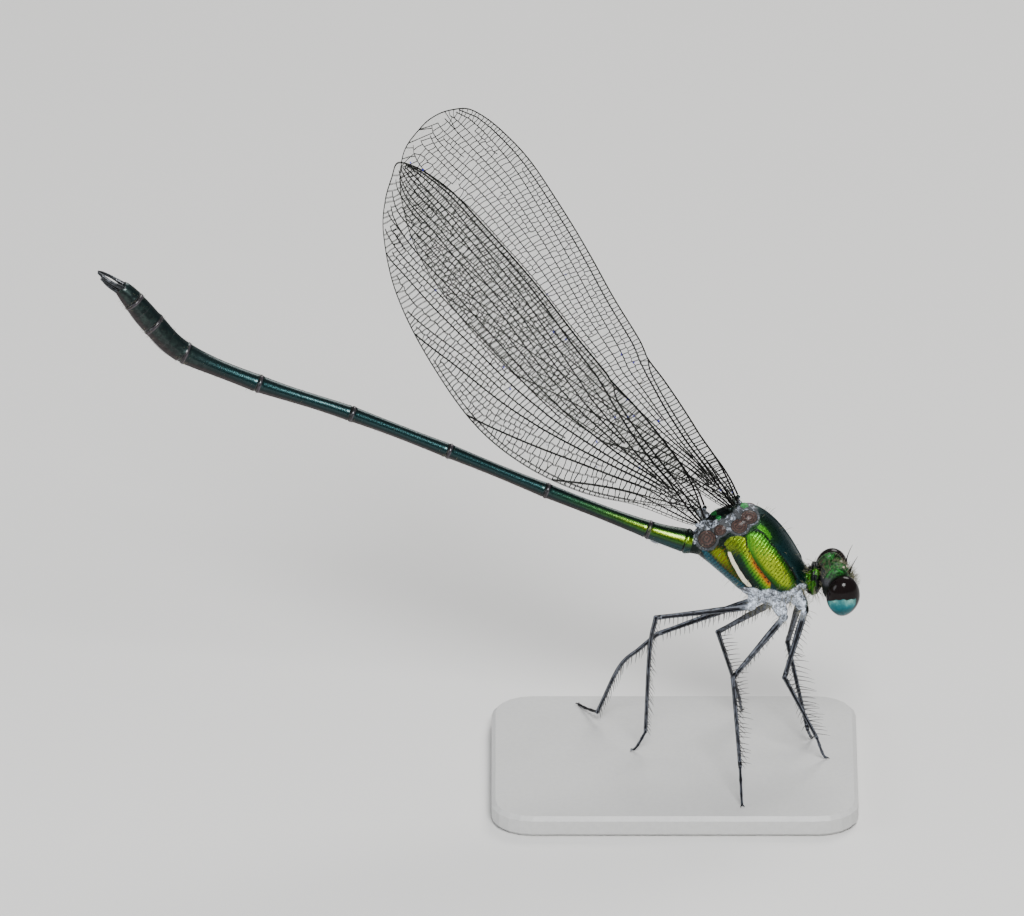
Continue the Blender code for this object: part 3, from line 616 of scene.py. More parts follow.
def ball(middle, half, segments=24, rings=16):
    """An ellipsoid with three half axes."""
    bm = bmesh.new()
    shape = Matrix.Translation(Vector(middle)) @ Matrix.Diagonal((*half, 1.0))
    bmesh.ops.create_uvsphere(bm, u_segments=segments, v_segments=rings, radius=1.0, matrix=shape)
    return bm


def scratch(name, bm):
    """A passing object from a bmesh in millimetres, which is freed."""
    mesh = bpy.data.meshes.new(name)
    bm.to_mesh(mesh)
    bm.free()
    made = bpy.data.objects.new(name, mesh)
    bpy.context.scene.collection.objects.link(made)
    return made


def settled(made):
    """A bmesh of an object with its modifiers applied, and the object removed."""
    bm = bmesh.new()
    bm.from_object(made, bpy.context.evaluated_depsgraph_get())
    bpy.data.objects.remove(made)
    return bm


def together(*parts):
    """One bmesh that holds several, which are freed."""
    first = parts[0]
    for part in parts[1:]:
        mesh = bpy.data.meshes.new("part")
        part.to_mesh(mesh)
        part.free()
        first.from_mesh(mesh)
        bpy.data.meshes.remove(mesh)
    return first


def fused(core, pieces):
    """One closed bmesh of a core and the pieces that are rooted in it."""
    node = scratch("core", core)
    group = bpy.data.collections.new("pieces")
    bpy.context.scene.collection.children.link(group)
    for piece in pieces:
        rooted = scratch("piece", piece)
        bpy.context.scene.collection.objects.unlink(rooted)
        group.objects.link(rooted)
    union = node.modifiers.new("union", "BOOLEAN")
    union.operation, union.operand_type, union.collection = "UNION", "COLLECTION", group
    bm = settled(node)
    for rooted in list(group.objects):
        bpy.data.objects.remove(rooted)
    bpy.data.collections.remove(group)
    # The union numbers its points differently each run, and the hairs are drawn point by point
    ranks = {vert: rank for rank, vert in enumerate(sorted(bm.verts, key=lambda vert: tuple(vert.co)))}
    bm.verts.sort(key=ranks.get)
    bm.verts.index_update()
    return bm


def add_piece(name, bm, finishes, replaced=(), smooth=60):
    """A finished piece in the row frame, riding on the one body."""
    bmesh.ops.transform(bm, matrix=Matrix.Scale(MM, 4) @ Matrix.Translation(-MIDDLE), verts=bm.verts)
    mesh = bpy.data.meshes.new(name)
    bm.to_mesh(mesh)
    bm.free()
    made = bpy.data.objects.new(name, mesh)
    bpy.context.scene.collection.objects.link(made)
    for finish in finishes:
        mesh.materials.append(finish)
    mesh.shade_smooth()
    mesh.set_sharp_from_angle(angle=math.radians(smooth))
    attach(made, "root")
    if replaced:
        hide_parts(*replaced)
    return made


def strands(name, paths, finish, replaced=(), unwrap=None):
    """Many thin tapered tubes as one mesh. Each path is a list of (place, radius) in millimetres."""
    line = bpy.data.curves.new(name, "CURVE")
    line.dimensions = "3D"
    line.bevel_depth = 1.0
    line.bevel_resolution = 0
    line.use_fill_caps = True
    for path in paths:
        spline = line.splines.new("POLY")
        spline.points.add(len(path) - 1)
        for point, (place, radius) in zip(spline.points, path):
            point.co = (*place, 1.0)
            point.radius = radius
    guide = bpy.data.objects.new(name + "_guide", line)
    bpy.context.scene.collection.objects.link(guide)
    bm = bmesh.new()
    shown = guide.evaluated_get(bpy.context.evaluated_depsgraph_get())
    bm.from_mesh(shown.to_mesh())
    shown.to_mesh_clear()
    bpy.data.objects.remove(guide)
    bpy.data.curves.remove(line)
    bm.verts.ensure_lookup_table()
    if unwrap is not None:
        layer = bm.loops.layers.uv.new("OFBake")
        owner, n = {}, 0
        for number, path in enumerate(paths):
            for _ in range(len(path) * 4):
                owner[n] = number
                n += 1
        patch = 0.003
        for face in bm.faces:
            for corner, loop in enumerate(face.loops):
                u, v = unwrap[owner[min(loop.vert.index, n - 1)]]
                loop[layer].uv = (u + patch * (corner % 2), v + patch * (corner // 2 % 2))
    return add_piece(name, bm, [finish], replaced)


def head_frame():
    """The head's place and turn."""
    return (Matrix.Translation(HEAD_MIDDLE) @ Matrix.Rotation(HEAD_TURN, 4, "Z")
            @ Matrix.Rotation(-HEAD_LEAN, 4, "X"))


def leg_way(name):
    """The direction in which a leg leaves its hip."""
    hip, knee = LEGS[name][:2]
    return (Vector(knee) - Vector(hip)).normalized()


def side_of(name):
    """1 for a left piece and -1 for a right one."""
    return 1 if name.endswith("left") else -1


def places_of(bm):
    """The places of a bmesh's points as an array, in millimetres."""
    return np.array([vert.co[:] for vert in bm.verts], float)


def off_stretch(points, a, b):
    """The way to each point from the nearest place on a straight stretch."""
    stretch = b - a
    share = np.clip(((points - a) @ stretch) / (stretch @ stretch), 0, 1)
    return points - a - share[:, None] * stretch


def away(corners, points):
    """How far points are from a line of straight stretches."""
    corners = np.array(corners, float)
    gaps = [np.linalg.norm(off_stretch(points, a, b), axis=1) for a, b in zip(corners, corners[1:])]
    return np.min(gaps, axis=0)


def inside(outline, points):
    """How far points lie inside an outline, as a signed distance."""
    nearest = away([*outline, outline[0]], points)
    corners = np.array(outline, float)
    odd = np.zeros(len(points), bool)
    for a, b in zip(corners, np.roll(corners, -1, axis=0)):
        crosses = (a[1] > points[:, 1]) != (b[1] > points[:, 1])
        with np.errstate(divide="ignore", invalid="ignore"):
            at = a[0] + (points[:, 1] - a[1]) * (b[0] - a[0]) / (b[1] - a[1])
        odd ^= crosses & (points[:, 0] < at)
    return np.where(odd, nearest, -nearest)


def write_values(bm, name, values):
    """Keep a value at each point of a bmesh, for the materials."""
    layer = bm.verts.layers.float.new(name)
    for vert, value in zip(bm.verts, values):
        vert[layer] = float(value)


def push(bm, amounts):
    """Move each point of a bmesh along its normal, by millimetres."""
    bm.normal_update()
    moves = [(vert, vert.normal * float(amount)) for vert, amount in zip(bm.verts, amounts)]
    for vert, move in moves:
        vert.co += move


def side_view(points):
    """Where points lie in the side view that the markings are drawn in, alike on both sides."""
    return np.stack([points[:, 0], points[:, 2] - np.abs(points[:, 1]) * SIDE_SLOPE], axis=1)


def abdomen_places(points):
    """How far along the abdomen points are, their turn from above, and where its joints are."""
    line = np.array([(x, z) for x, z, _ in ABDOMEN])
    flat = points[:, [0, 2]]
    best = np.full(len(points), 1e9)
    along, turn = np.zeros(len(points)), np.zeros(len(points))
    start = 0.0
    joints = [0.0]
    for a, b in zip(line, line[1:]):
        stretch = b - a
        length = float(np.linalg.norm(stretch))
        share = np.clip(((flat - a) @ stretch) / length**2, 0, 1)
        off = flat - a - share[:, None] * stretch
        gap = np.linalg.norm(off, axis=1)
        over = np.array([-stretch[1], stretch[0]]) / length
        height = -(off @ over)
        near = gap < best
        best = np.where(near, gap, best)
        along = np.where(near, start + share * length, along)
        turn = np.where(near, np.degrees(np.arctan2(np.abs(points[:, 1]), height)), turn)
        start += length
        joints.append(start)
    return along, turn, joints


def skin_rings():
    """Rings of the one skin from the neck over the thorax to the tail."""
    tops = curve_through([(*top, 0.0) for top, _, _ in NECK_AND_THORAX], THORAX_STEPS)
    lows = curve_through([(*low, half) for _, low, half in NECK_AND_THORAX], THORAX_STEPS)
    rings = []
    turns = [2 * math.pi * n / SKIN_SIDES for n in range(SKIN_SIDES)]
    for top, low in zip(tops, lows):
        half = low.z
        upper, lower = Vector((top.x, 0, top.y)), Vector((low.x, 0, low.y))
        middle, up = (upper + lower) / 2, (upper - lower) / 2
        ring = []
        for turn in turns:
            across, rise = math.cos(turn), math.sin(turn)
            width = half * math.copysign(abs(across) ** SKIN_SQUARENESS, across)
            width *= 1 - TOP_NARROWED * rise * abs(rise)
            ring.append(middle + Vector((0, width, 0)) + up * rise)
        rings.append(ring)
    places = [Vector((x, 0, z)) for x, z, _ in ABDOMEN]
    line = curve_through(places, ABDOMEN_STEPS)
    radii = curve_through([(radius, 0, 0) for _, _, radius in ABDOMEN], ABDOMEN_STEPS)
    lengths = lengths_of(line)
    count = round(lengths[-1] / ABDOMEN_SPACING)
    joints = [lengths[ABDOMEN_STEPS * n] for n in range(len(ABDOMEN))]
    wanted = {lengths[-1] * n / count for n in range(1, count + 1)}
    for joint in joints[1:-1]:
        wanted = {want for want in wanted if abs(want - joint) > JOINT_RINGS * JOINT_SPACING}
        wanted |= {joint + JOINT_SPACING * n for n in range(-JOINT_RINGS, JOINT_RINGS + 1)}
    ways = ways_along(line)
    for want in sorted(wanted):
        step = max(n for n in range(len(line) - 1) if lengths[n] <= want + 1e-9)
        share = (want - lengths[step]) / (lengths[step + 1] - lengths[step])
        place = line[step].lerp(line[step + 1], share)
        way = ways[step].lerp(ways[step + 1], share).normalized()
        radius = radii[step].x + (radii[step + 1].x - radii[step].x) * share
        segment = max(n for n in range(len(joints) - 1) if joints[n] <= want + 1e-9)
        length = joints[segment + 1] - joints[segment]
        inner = (want - joints[segment]) / length
        waist = 1 + (-0.10 if segment in LONG_SEGMENTS else 0.03) * math.sin(math.pi * inner)
        if want > lengths[-1] - 0.12:
            waist *= 0.90
        up = Vector((-way.z, 0, way.x))
        ring = []
        for turn in turns:
            across, rise = math.cos(turn), math.sin(turn)
            keel = 1 + 0.035 * max(0.0, rise) ** 24
            ring.append(place + Vector((0, across, 0)) * radius * waist - up * rise * radius * waist * keel)
        rings.append(ring)
    return rings


def bell(values, place, width, rise):
    """A smooth rise around a place, and none away from it."""
    return rise * np.exp(-(((values - place) / width) ** 2))


def body_relief(points):
    """How far each point of the skin stands out from its smooth form, and its marks."""
    side = side_view(points)
    marks = {name: inside(outline, side) for name, outline in MARKINGS.items()}
    marks["suture"] = np.min([away(line, side) for line in SUTURES], axis=0)
    marks["middle_suture"] = away(SUTURES[1], side)
    for name, spots in (("pad", PADS), ("emerald", EMERALDS)):
        gaps = [np.hypot((side[:, 0] - x) / a, (side[:, 1] - z) / b) for x, z, a, b in spots]
        marks[name] = 1 - np.min(gaps, axis=0)
    along, turn, joints = abdomen_places(points)
    tail = points[:, 0] < THORAX_END
    marks["along"] = np.where(tail, along, -1.0)
    marks["turn"] = turn
    before = np.full(len(points), 9.0)
    for at in joints[1:-1]:
        before = np.where(np.abs(along - at) < np.abs(before), along - at, before)
    marks["before"] = np.where(tail, before, 9.0)
    lift = np.zeros(len(points))
    chest = ~tail & (points[:, 0] < COLLAR_START)
    lift += chest * bell(marks["suture"], *SUTURE_GROOVE)
    for name, rise in PLATE_RISES:
        lift += chest * rise * np.clip(marks[name] / 0.30, 0, 1)
    lift += chest * (PAD_RISE * np.clip(marks["pad"] / 0.30, 0, 1) + bell(marks["pad"], *PAD_GROOVE))
    steps = 0.006 * np.sin(marks["pad"] * 24.0) * np.clip(marks["pad"] / 0.1, 0, 1)
    around = np.clip((marks["pad"] + 0.75) / 0.3, 0, 1) * (marks["pad"] < 0) * (points[:, 0] < 3.2)
    waxy = np.clip((marks["frost"] + 0.05) / 0.3, 0, 1)
    wrinkled = np.array([noise.fractal(Vector(place) * 2.6, 0.9, 2.1, 4) for place in points])
    lift += chest * (steps + wrinkled * (0.055 * waxy + 0.075 * around))
    lift += chest * EMERALD_RISE * np.clip(marks["emerald"] / 0.5, 0, 1)
    lift += chest * (points[:, 2] > 15.0) * bell(points[:, 1], *BACK_RIDGE)
    for groove in COLLAR_GROOVES:
        lift += (points[:, 0] > COLLAR_START) * bell(points[:, 0], *groove)
    for ring in JOINT_RELIEF:
        lift += tail * bell(before, *ring)
    lift += tail * (bell(turn, *FLANK_EDGE) - np.clip((turn - 140) / 12, 0, 1) * 0.035)
    return lift, marks


def make_skin():
    """The one skin of thorax and abdomen, with the hips, wing bosses and waist lobe fused on."""
    grown = [ball(*WAIST_LOBE)]
    for name, (hip, *_) in LEGS.items():
        start = mirrored(HIP_ROOTS[name.split("_")[0]], side_of(name))
        end = Vector(hip) + leg_way(name) * 0.10
        grown.append(limb(finely([start, (start + end) / 2, end], 0.12), HIP_RADII, 28))
        turner = end + leg_way(name) * 0.22
        grown.append(limb(finely([end - leg_way(name) * 0.3, turner, turner + leg_way(name) * 0.25], 0.08),
                          (0.30, 0.31, 0.26), 24))
    for wing in WINGS.values():
        out_along, ahead = wing_axes(wing)
        for side in (1, -1):
            root = mirrored(wing["root"], side)
            low = mirrored(wing["root"] + Vector((1.2, 0.05, -1.9)), side * 0.8)
            grown.append(limb(finely([low, (low + root) / 2, root - out_along * 0.10], 0.10),
                              (0.75, 0.62, 0.50, 0.40, 0.26), 24))
            for share in (-0.30, 0.05, 0.36):
                spot = root + ahead * share - out_along * (0.18 + 0.08 * share)
                grown.append(ball(spot, (0.17, 0.13, 0.19), 12, 8))
    bm = fused(loft(skin_rings()), grown)
    lift, _ = body_relief(places_of(bm))
    push(bm, lift)
    _, marks = body_relief(places_of(bm))
    for name, values in marks.items():
        write_values(bm, name, values)
    for face in bm.faces:
        middle = face.calc_center_median()
        face.material_index = 1 if middle.x < -1.95 else 0
    replaced = ["thorax", "prothorax", *[f"abdomen_{n}" for n in range(1, 11)]]
    return add_piece("body_skin", bm, [thorax_finish(), abdomen_finish()], replaced)


def thorax_finish():
    """Metallic green plates, dark seams, a cream stripe, leathery pads and a waxy underside."""
    made, t = Finish("thorax_cuticle"), tones()
    ahead, height = made.measured()
    ragged = (made.noise(2.2, 4.0) - 0.5) * 0.14
    fine = made.noise(14.0, 3.0)
    grain = made.noise(5.0, 5.0, 0.65)
    flecks = made.noise(8.0, 3.0, 0.7)
    striae = made.node("ShaderNodeTexWave", {"wave_type": "BANDS", "bands_direction": "X"},
                       {"Vector": made.stretched((1, 1, 1), (0, math.radians(-38), 0)), "Scale": 1.25,
                        "Distortion": 2.4, "Detail": 3.0, "Detail Scale": 1.6}, "Fac")
    mottle = (flecks - 0.5) * 1.5 + (grain - 0.5) * 0.6 + (striae - 0.5) * 0.42

    def zone(name, low=-0.24, high=-0.15):
        """Where a marking is, with a slightly ragged soft edge."""
        return (made.own(name) + ragged * 0.5).between(low, high)

    dark_leaf = toned(t.leaf, 0.16)
    night = made.mix(flecks, t.night, DARK)
    back = made.mix((ahead + ragged * 3).between(1.5, 5.0), night, t.teal)
    # Painted highlight: leaf green along the streak, with a dark green margin round it.
    back = made.mix(made.own("streak").between(-0.9, -0.1) * 0.6, back, dark_leaf)
    colour = made.mix((made.own("streak") + mottle * 0.12).between(-0.05, 0.16), back, t.leaf)
    deep = made.own("gold")
    gold = made.mix((deep + mottle * 0.25).between(0.02, 0.42), toned(t.leaf, 0.6), t.gold)
    gold = made.mix(mottle.between(-0.05, 0.30) * 0.85, gold, toned(t.leaf, 0.26))
    # Painted highlight: the upper part of the gold plate turns a brighter leaf green.
    gold = made.mix((height + mottle).between(15.4, 17.0) * 0.75, gold, toned(t.leaf, 1.25))
    gold = made.mix((height + mottle).between(13.3, 12.6) * 0.35, gold, t.ember)
    gold = made.mix((deep + mottle * 0.12).between(0.05, -0.16), gold, dark_leaf)
    beside = made.own("middle_suture") + mottle * 0.10
    leaf = made.mix(beside.between(0.16, 0.52), t.gold, t.leaf)
    leaf = made.mix(beside.between(0.50, 0.80), leaf, (0.003, 0.022, 0.014))
    # Painted highlight: pale gold-green at the top of the leaf plate.
    leaf = made.mix((height + mottle).between(15.9, 16.6) * 0.7, leaf, toned(t.gold, 0.6))
    leaf = made.mix(mottle.between(-0.05, 0.30) * 0.75, leaf, dark_leaf)
    leaf = made.mix(beside.between(0.30, 0.05) * height.between(16.4, 15.0) * 0.85, leaf, t.ember)
    colour = made.mix(zone("gold"), colour, gold)
    colour = made.mix(zone("leaf"), colour, leaf)
    olive = made.mix((made.own("olive") + mottle * 0.2).between(0.0, 0.26), dark_leaf,
                     made.mix(height.between(14.9, 15.7), toned(t.gold, 0.22),
                              toned(t.gold, 0.5)))
    olive = made.mix(mottle.between(0.0, 0.25) * 0.6, olive, toned(t.ember, 0.25))
    colour = made.mix(zone("olive", -0.14, -0.05), colour, olive)
    blue = made.mix(mottle.between(-0.2, 0.2), (0.004, 0.040, 0.060), (0.012, 0.095, 0.125))
    colour = made.mix(zone("teal", -0.16, 0.02), colour, blue)
    seam = (made.own("suture") + ragged * 0.3).between(0.090, 0.040)
    colour = made.mix(seam, colour, DARK)
    glow = (made.own("middle_suture") + ragged * 0.3).between(0.13, 0.05) * height.between(16.2, 15.3)
    colour = made.mix(glow * (1 - seam) * 0.9, colour, t.ember)
    colour = made.mix(zone("cream", -0.035, 0.015), colour, t.cream)
    crumple = made.noise(2.0, 6.0, 0.70)
    crease = abs(made.noise(1.7, 5.0, 0.62) - 0.5)
    bloom = (made.own("frost") + (grain - 0.5) * 0.45).between(-0.06, 0.10)
    # Painted light and shade of the crumpled waxy underside: dark and bright patches follow the crumple
    # noise, and its creases get painted shade.
    frost = made.mix(crumple.between(0.40, 0.58), toned(t.frost, 0.22), toned(t.frost, 2.0))
    frost = made.mix(crease.between(0.035, 0.008) * 0.9, frost, toned(t.frost, 0.07))
    colour = made.mix(bloom * 0.97, colour, frost)
    pad_edge = made.own("pad")
    above = (height - ahead * 0.58 + mottle * 0.4).between(17.2, 18.2)
    around = (pad_edge + above * 0.8 + ragged * 2.0).between(-0.42, -0.22) * ahead.between(3.3, 2.8)
    colour = made.mix(around * 0.9, colour, toned(t.frost, 0.07))
    net = around * (made.noise(3.6, 5.0, 0.7) - crease * 0.6).between(0.46, 0.54) * (0.45 + 0.55 * above)
    colour = made.mix(net * 0.9, colour, toned(t.frost, 1.1))
    rings = (pad_edge * 19.0 + (grain - 0.5) * 16.0 + ragged * 30.0).sine()
    leather = made.mix((rings * 0.5 + grain * 1.6).between(0.2, 1.4), toned(t.leather, 0.30),
                       toned(t.leather, 1.8))
    ragged_pad_edge = pad_edge + ragged * 0.8
    pad = ragged_pad_edge.between(-0.02, 0.05)
    colour = made.mix(pad, colour, leather)
    # A near-black outline along the groove just outside each pad.
    colour = made.mix(ragged_pad_edge.between(-0.10, -0.04) * pad_edge.between(0.08, 0.02), colour, DARK)
    emerald = (made.own("emerald") + mottle * 0.3).between(0.05, 0.30)
    colour = made.mix(emerald, colour, (0.02, 0.20, 0.045))
    # The collar: near-black with green and gold blotches, partly its own green and partly painted glints on
    # the metallic collar.
    collar = ahead.between(6.20, 6.42) * (1 - bloom)
    spots = made.mix((made.noise(1.25, 2.0, 0.5) + mottle * 0.1).between(0.49, 0.58), DARK,
                     made.mix(mottle.between(-0.45, -0.1), toned(t.gold, 0.6), toned(t.leaf, 0.6)))
    colour = made.mix(collar, colour, spots)
    dull = bloom.most(pad).most(around).most(zone("cream", -0.035, 0.015))
    metal = (1 - dull) * 0.88
    rough = made.noise(9.0, 3.0).between(0.3, 0.7, 0.25, 0.38) + dull * 0.32
    plates = zone("gold").most(zone("leaf")).most(zone("olive"))
    relief = striae * plates * 0.9 + made.cells(16.0) * 0.5 + fine * 0.5
    relief = relief + rings * pad * 1.6 + grain * pad * 2.0
    relief = relief + bloom * (crumple * 4.0 + crease * 6.0) + around * (1 - pad) * net * 3.0
    normal = made.bump(relief, 0.034, 0.9)
    return made.shade(Base_Color=colour, Metallic=metal, Roughness=rough, Normal=normal,
                      Coat_Weight=0.12, Coat_Roughness=0.16)


def abdomen_finish():
    """Dark metallic teal and green with brown joints, a brown underside and bloom at the tail."""
    made, t = Finish("abdomen_cuticle"), tones()
    ragged = made.noise(2.5, 4.0) - 0.5
    along, turn = made.own("along"), made.own("turn")
    fine = made.noise(12.0, 4.0, 0.6)
    cloud = made.noise(3.2, 5.0, 0.7)
    tail = along.between(36.5, 41.5)
    top = made.mix(along.between(1.0, 12.0), t.night, toned(t.teal, 0.40))
    # The sides: their own green turning teal towards the tail, laid as a lighter band along each side that
    # is a painted reflection.
    flank_with_sheen = made.mix(along.between(3.5, 13.0), toned(t.leaf, 0.45), toned(t.teal, 0.95))
    # Painted highlight: a narrow gold-green band high on each side, near the abdomen's base.
    bright = (turn + ragged * 14).between(44, 58) * (turn + ragged * 14).between(80, 66)
    flank_with_sheen = made.mix(along.between(7.5, 2.0) * bright * 0.8, flank_with_sheen, toned(t.gold, 0.5))
    line = (turn + ragged * 16).between(28, 50) * (turn + ragged * 16).between(100, 76)
    colour = made.mix(line, top, flank_with_sheen)
    dusky = made.mix(cloud.between(0.38, 0.66), (0.007, 0.010, 0.010), (0.022, 0.036, 0.031))
    colour = made.mix(tail * turn.between(28, 52) * 0.85, colour, dusky)
    under = (turn + ragged * 16).between(100, 120)
    brown = made.mix(cloud.between(0.35, 0.65), toned(t.umber, 0.7), toned(t.umber, 1.5))
    colour = made.mix(under * 0.9, colour, brown)
    bluish = (turn + ragged * 12).between(92, 108) * (turn + ragged * 12).between(146, 126)
    colour = made.mix(bluish * along.between(6.0, 1.0) * 0.8, colour, toned(t.teal, 1.6))
    belly = (turn + ragged * 8).between(132, 146)
    bloom = belly * along.between(9.0, 1.5)
    waxy = made.mix(cloud.between(0.36, 0.62), toned(t.frost, 0.22), toned(t.frost, 1.25))
    colour = made.mix(bloom * 0.9, colour, waxy)
    hem = (turn + ragged * 4).between(134, 138) * (turn + ragged * 4).between(146, 141)
    colour = made.mix(hem * (0.15 + along.between(12.0, 3.0)) * cloud.between(0.3, 0.6), colour, t.frost)
    before = made.own("before") + ragged * 0.05
    ring = before.between(-0.30, -0.20) * before.between(0.12, 0.03) * along.between(2.2, 3.0)
    violet = made.mix(cloud.between(0.42, 0.62), t.umber, (0.045, 0.032, 0.042))
    colour = made.mix(ring * 0.70, colour, violet)
    paler = before.between(-0.30, -0.24) * before.between(-0.17, -0.22) * along.between(2.2, 3.0)
    colour = made.mix(paler * 0.45, colour, (0.11, 0.09, 0.11))
    seam = abs(made.own("before")).between(0.075, 0.03)
    colour = made.mix(seam, colour, DARK)
    # Painted highlight: leaf green and gold at the waist, along the same band.
    waist = along.between(1.1, 0.4)
    colour = made.mix(waist * (1 - under) * bright, colour, made.mix(cloud, t.leaf, t.gold))
    dull = (ring * 0.25).most(bloom).least(1.0)
    metal = (1 - dull) * 0.82
    rough = fine.between(0.3, 0.7, 0.20, 0.32) + dull * 0.22 + tail * 0.10
    normal = made.bump(made.cells(11.0) * 0.5 + fine * 0.5 + cloud * (bloom + under), 0.018, 0.6)
    return made.shade(Base_Color=colour, Metallic=metal, Roughness=rough, Normal=normal,
                      Coat_Weight=0.30, Coat_Roughness=0.16)


def make_head():
    """The head's plates grown together, creased where they meet."""
    shapes, parts = [], []
    for name, (middle, half) in HEAD_PLATES.items():
        for side in (1, -1) if middle[1] else (1,):
            centre = mirrored(middle, side)
            shapes.append((name, np.array(centre), np.array(half)))
            parts.append(ball(centre, half, 48, 32))
    lump = scratch("head", together(*parts))
    grain = lump.modifiers.new("grain", "REMESH")
    grain.mode, grain.voxel_size = "VOXEL", HEAD_GRAIN
    bm = settled(lump)
    for _ in range(HEAD_SMOOTHINGS):
        bmesh.ops.smooth_vert(bm, verts=bm.verts, factor=0.5, use_axis_x=True, use_axis_y=True,
                              use_axis_z=True)
    points = places_of(bm)
    depth = np.array([np.linalg.norm((points - centre) / half, axis=1) for _, centre, half in shapes])
    order = np.sort(depth, axis=0)
    crease = order[1] - order[0]
    push(bm, bell(crease, *PLATE_CREASE))
    names = [name for name, _, _ in shapes]
    for plate in ("nose", "lip"):
        own = np.min(depth[[n for n, name in enumerate(names) if name == plate]], axis=0)
        rest = np.min(depth[[n for n, name in enumerate(names) if name != plate]], axis=0)
        write_values(bm, plate, rest - own)
    write_values(bm, "crease", crease)
    write_values(bm, "height", points[:, 2])
    write_values(bm, "out", np.abs(points[:, 1]))
    write_values(bm, "ahead", points[:, 0])
    bmesh.ops.transform(bm, matrix=head_frame(), verts=bm.verts)
    return add_piece("head_capsule", bm, [head_finish()], ["head"])


def head_finish():
    """Metallic green above, brown-grey bloom behind, dark shining nose and lip."""
    made, t = Finish("head_cuticle"), tones()
    ragged = made.noise(3.0, 4.0, 0.6) - 0.5
    fine = made.noise(18.0, 3.0)
    height, ahead, out = made.own("height"), made.own("ahead"), made.own("out")
    jade = (0.020, 0.175, 0.026)
    leaf = made.mix(made.noise(8.0, 4.0, 0.7).between(0.40, 0.60), toned(jade, 0.30), jade)
    green = made.mix(made.noise(2.2, 6.0, 0.72).between(0.42, 0.58), leaf, toned(jade, 0.08))
    colour = made.mix((height + ragged * 0.6).between(-0.1, 0.5), DARK, green)
    rear = (ahead + ragged * 0.6).between(-0.30, -0.75)
    brown = made.mix(fine.between(0.4, 0.6), toned(t.umber, 0.9), toned(t.frost, 0.16))
    colour = made.mix(rear * (height + ragged).between(1.6, 1.1), colour, brown)
    nose = made.own("nose").between(-0.03, 0.03)
    colour = made.mix(nose, colour, made.mix(made.noise(2.0).between(0.4, 0.6), t.teal, t.night))
    lip = made.own("lip").between(-0.03, 0.03)
    colour = made.mix(lip, colour, made.mix(height.between(-0.95, -0.75), toned(t.leaf, 0.5), t.teal))
    seam = made.own("crease").between(0.035, 0.010)
    colour = made.mix(seam * 0.8, colour, DARK)
    below = (out + ragged * 0.2).between(0.6, 0.9) * (height + ragged * 0.4).between(1.0, 0.6)
    rim = (out + ragged * 0.1).between(1.36, 1.46).most(below)
    colour = made.mix(rim, colour, (0.003, 0.006, 0.004))
    dull = rear * (1 - rim) * 0.5
    rough = fine.between(0.3, 0.7, 0.34, 0.50) + dull * 0.2 - nose * 0.15
    normal = made.bump(made.cells(14.0) * 0.8 + made.noise(7.0, 4.0, 0.7) * 1.4, 0.032, 0.9)
    return made.shade(Base_Color=colour, Metallic=(1 - dull) * 0.88, Roughness=rough, Normal=normal,
                      Coat_Weight=0.10, Coat_Roughness=0.20)


def make_eyes():
    """The two eyes, narrower below, with their border between dark and turquoise."""
    finish = eye_finish()
    for name in ("eye_left", "eye_right"):
        side = side_of(name)
        bm = bmesh.new()
        bmesh.ops.create_uvsphere(bm, u_segments=96, v_segments=64, radius=1.0)
        for vert in bm.verts:
            low = max(0.0, -vert.co.z)
            narrow = 1 - EYE_NARROWED * low**2
            vert.co = Vector((vert.co.x * EYE_HALF.x * narrow, vert.co.y * EYE_HALF.y * narrow,
                              vert.co.z * EYE_HALF.z))
        points = places_of(bm)
        outward = points[:, 1] * side
        write_values(bm, "border", points[:, 2] - EYE_BORDER[0] - EYE_BORDER[1] * outward)
        write_values(bm, "outward", outward - EYE_RIM_LEAN * points[:, 0])
        bmesh.ops.translate(bm, vec=(0, side * EYE_OUT, 0), verts=bm.verts)
        bmesh.ops.transform(bm, matrix=head_frame(), verts=bm.verts)
        add_piece(f"{name}_lens", bm, [finish], [name], 180)


def eye_finish():
    """Dark brown-black above and cloudy turquoise below, under a clear shine with fine facets."""
    made, t = Finish("compound_eye"), tones()
    ragged = made.noise(3.5, 3.0, 0.6) - 0.5
    border = made.own("border") + ragged * 0.36
    cloud = made.noise(1.3, 4.0, 0.65).between(0.35, 0.68)
    low = made.mix(border.between(-1.25, -0.35), toned(t.eye_low, 0.45), t.eye_low)
    low = made.mix(border.between(-0.80, -0.12) * (cloud * 0.65 + 0.35), low, (0.19, 0.43, 0.36))
    low = made.mix((1 - cloud) * 0.6, low, toned(t.eye_low, 0.35))
    colour = made.mix(border.between(-0.09, 0.05), low, t.eye_top)
    rim = (made.own("outward") + ragged * 0.2).between(0.76, 0.54)
    colour = made.mix(rim, colour, t.eye_top)
    facets = made.cells(30.0)
    return made.shade(Base_Color=colour, Roughness=0.10, IOR=1.22, Normal=made.bump(facets, 0.004, 0.25))


def make_ocelli():
    """Three glassy eyelets on the crown."""
    bm = together(*[ball(middle, (radius,) * 3) for middle, radius in OCELLI])
    bmesh.ops.transform(bm, matrix=head_frame(), verts=bm.verts)
    made = Finish("eyelet_bead")
    tint = made.mix(made.noise(6.0).between(0.3, 0.7), (0.50, 0.46, 0.38), (0.26, 0.20, 0.14))
    add_piece("ocelli", bm, [made.shade(Base_Color=tint, Roughness=0.12, Coat_Weight=0.6)])


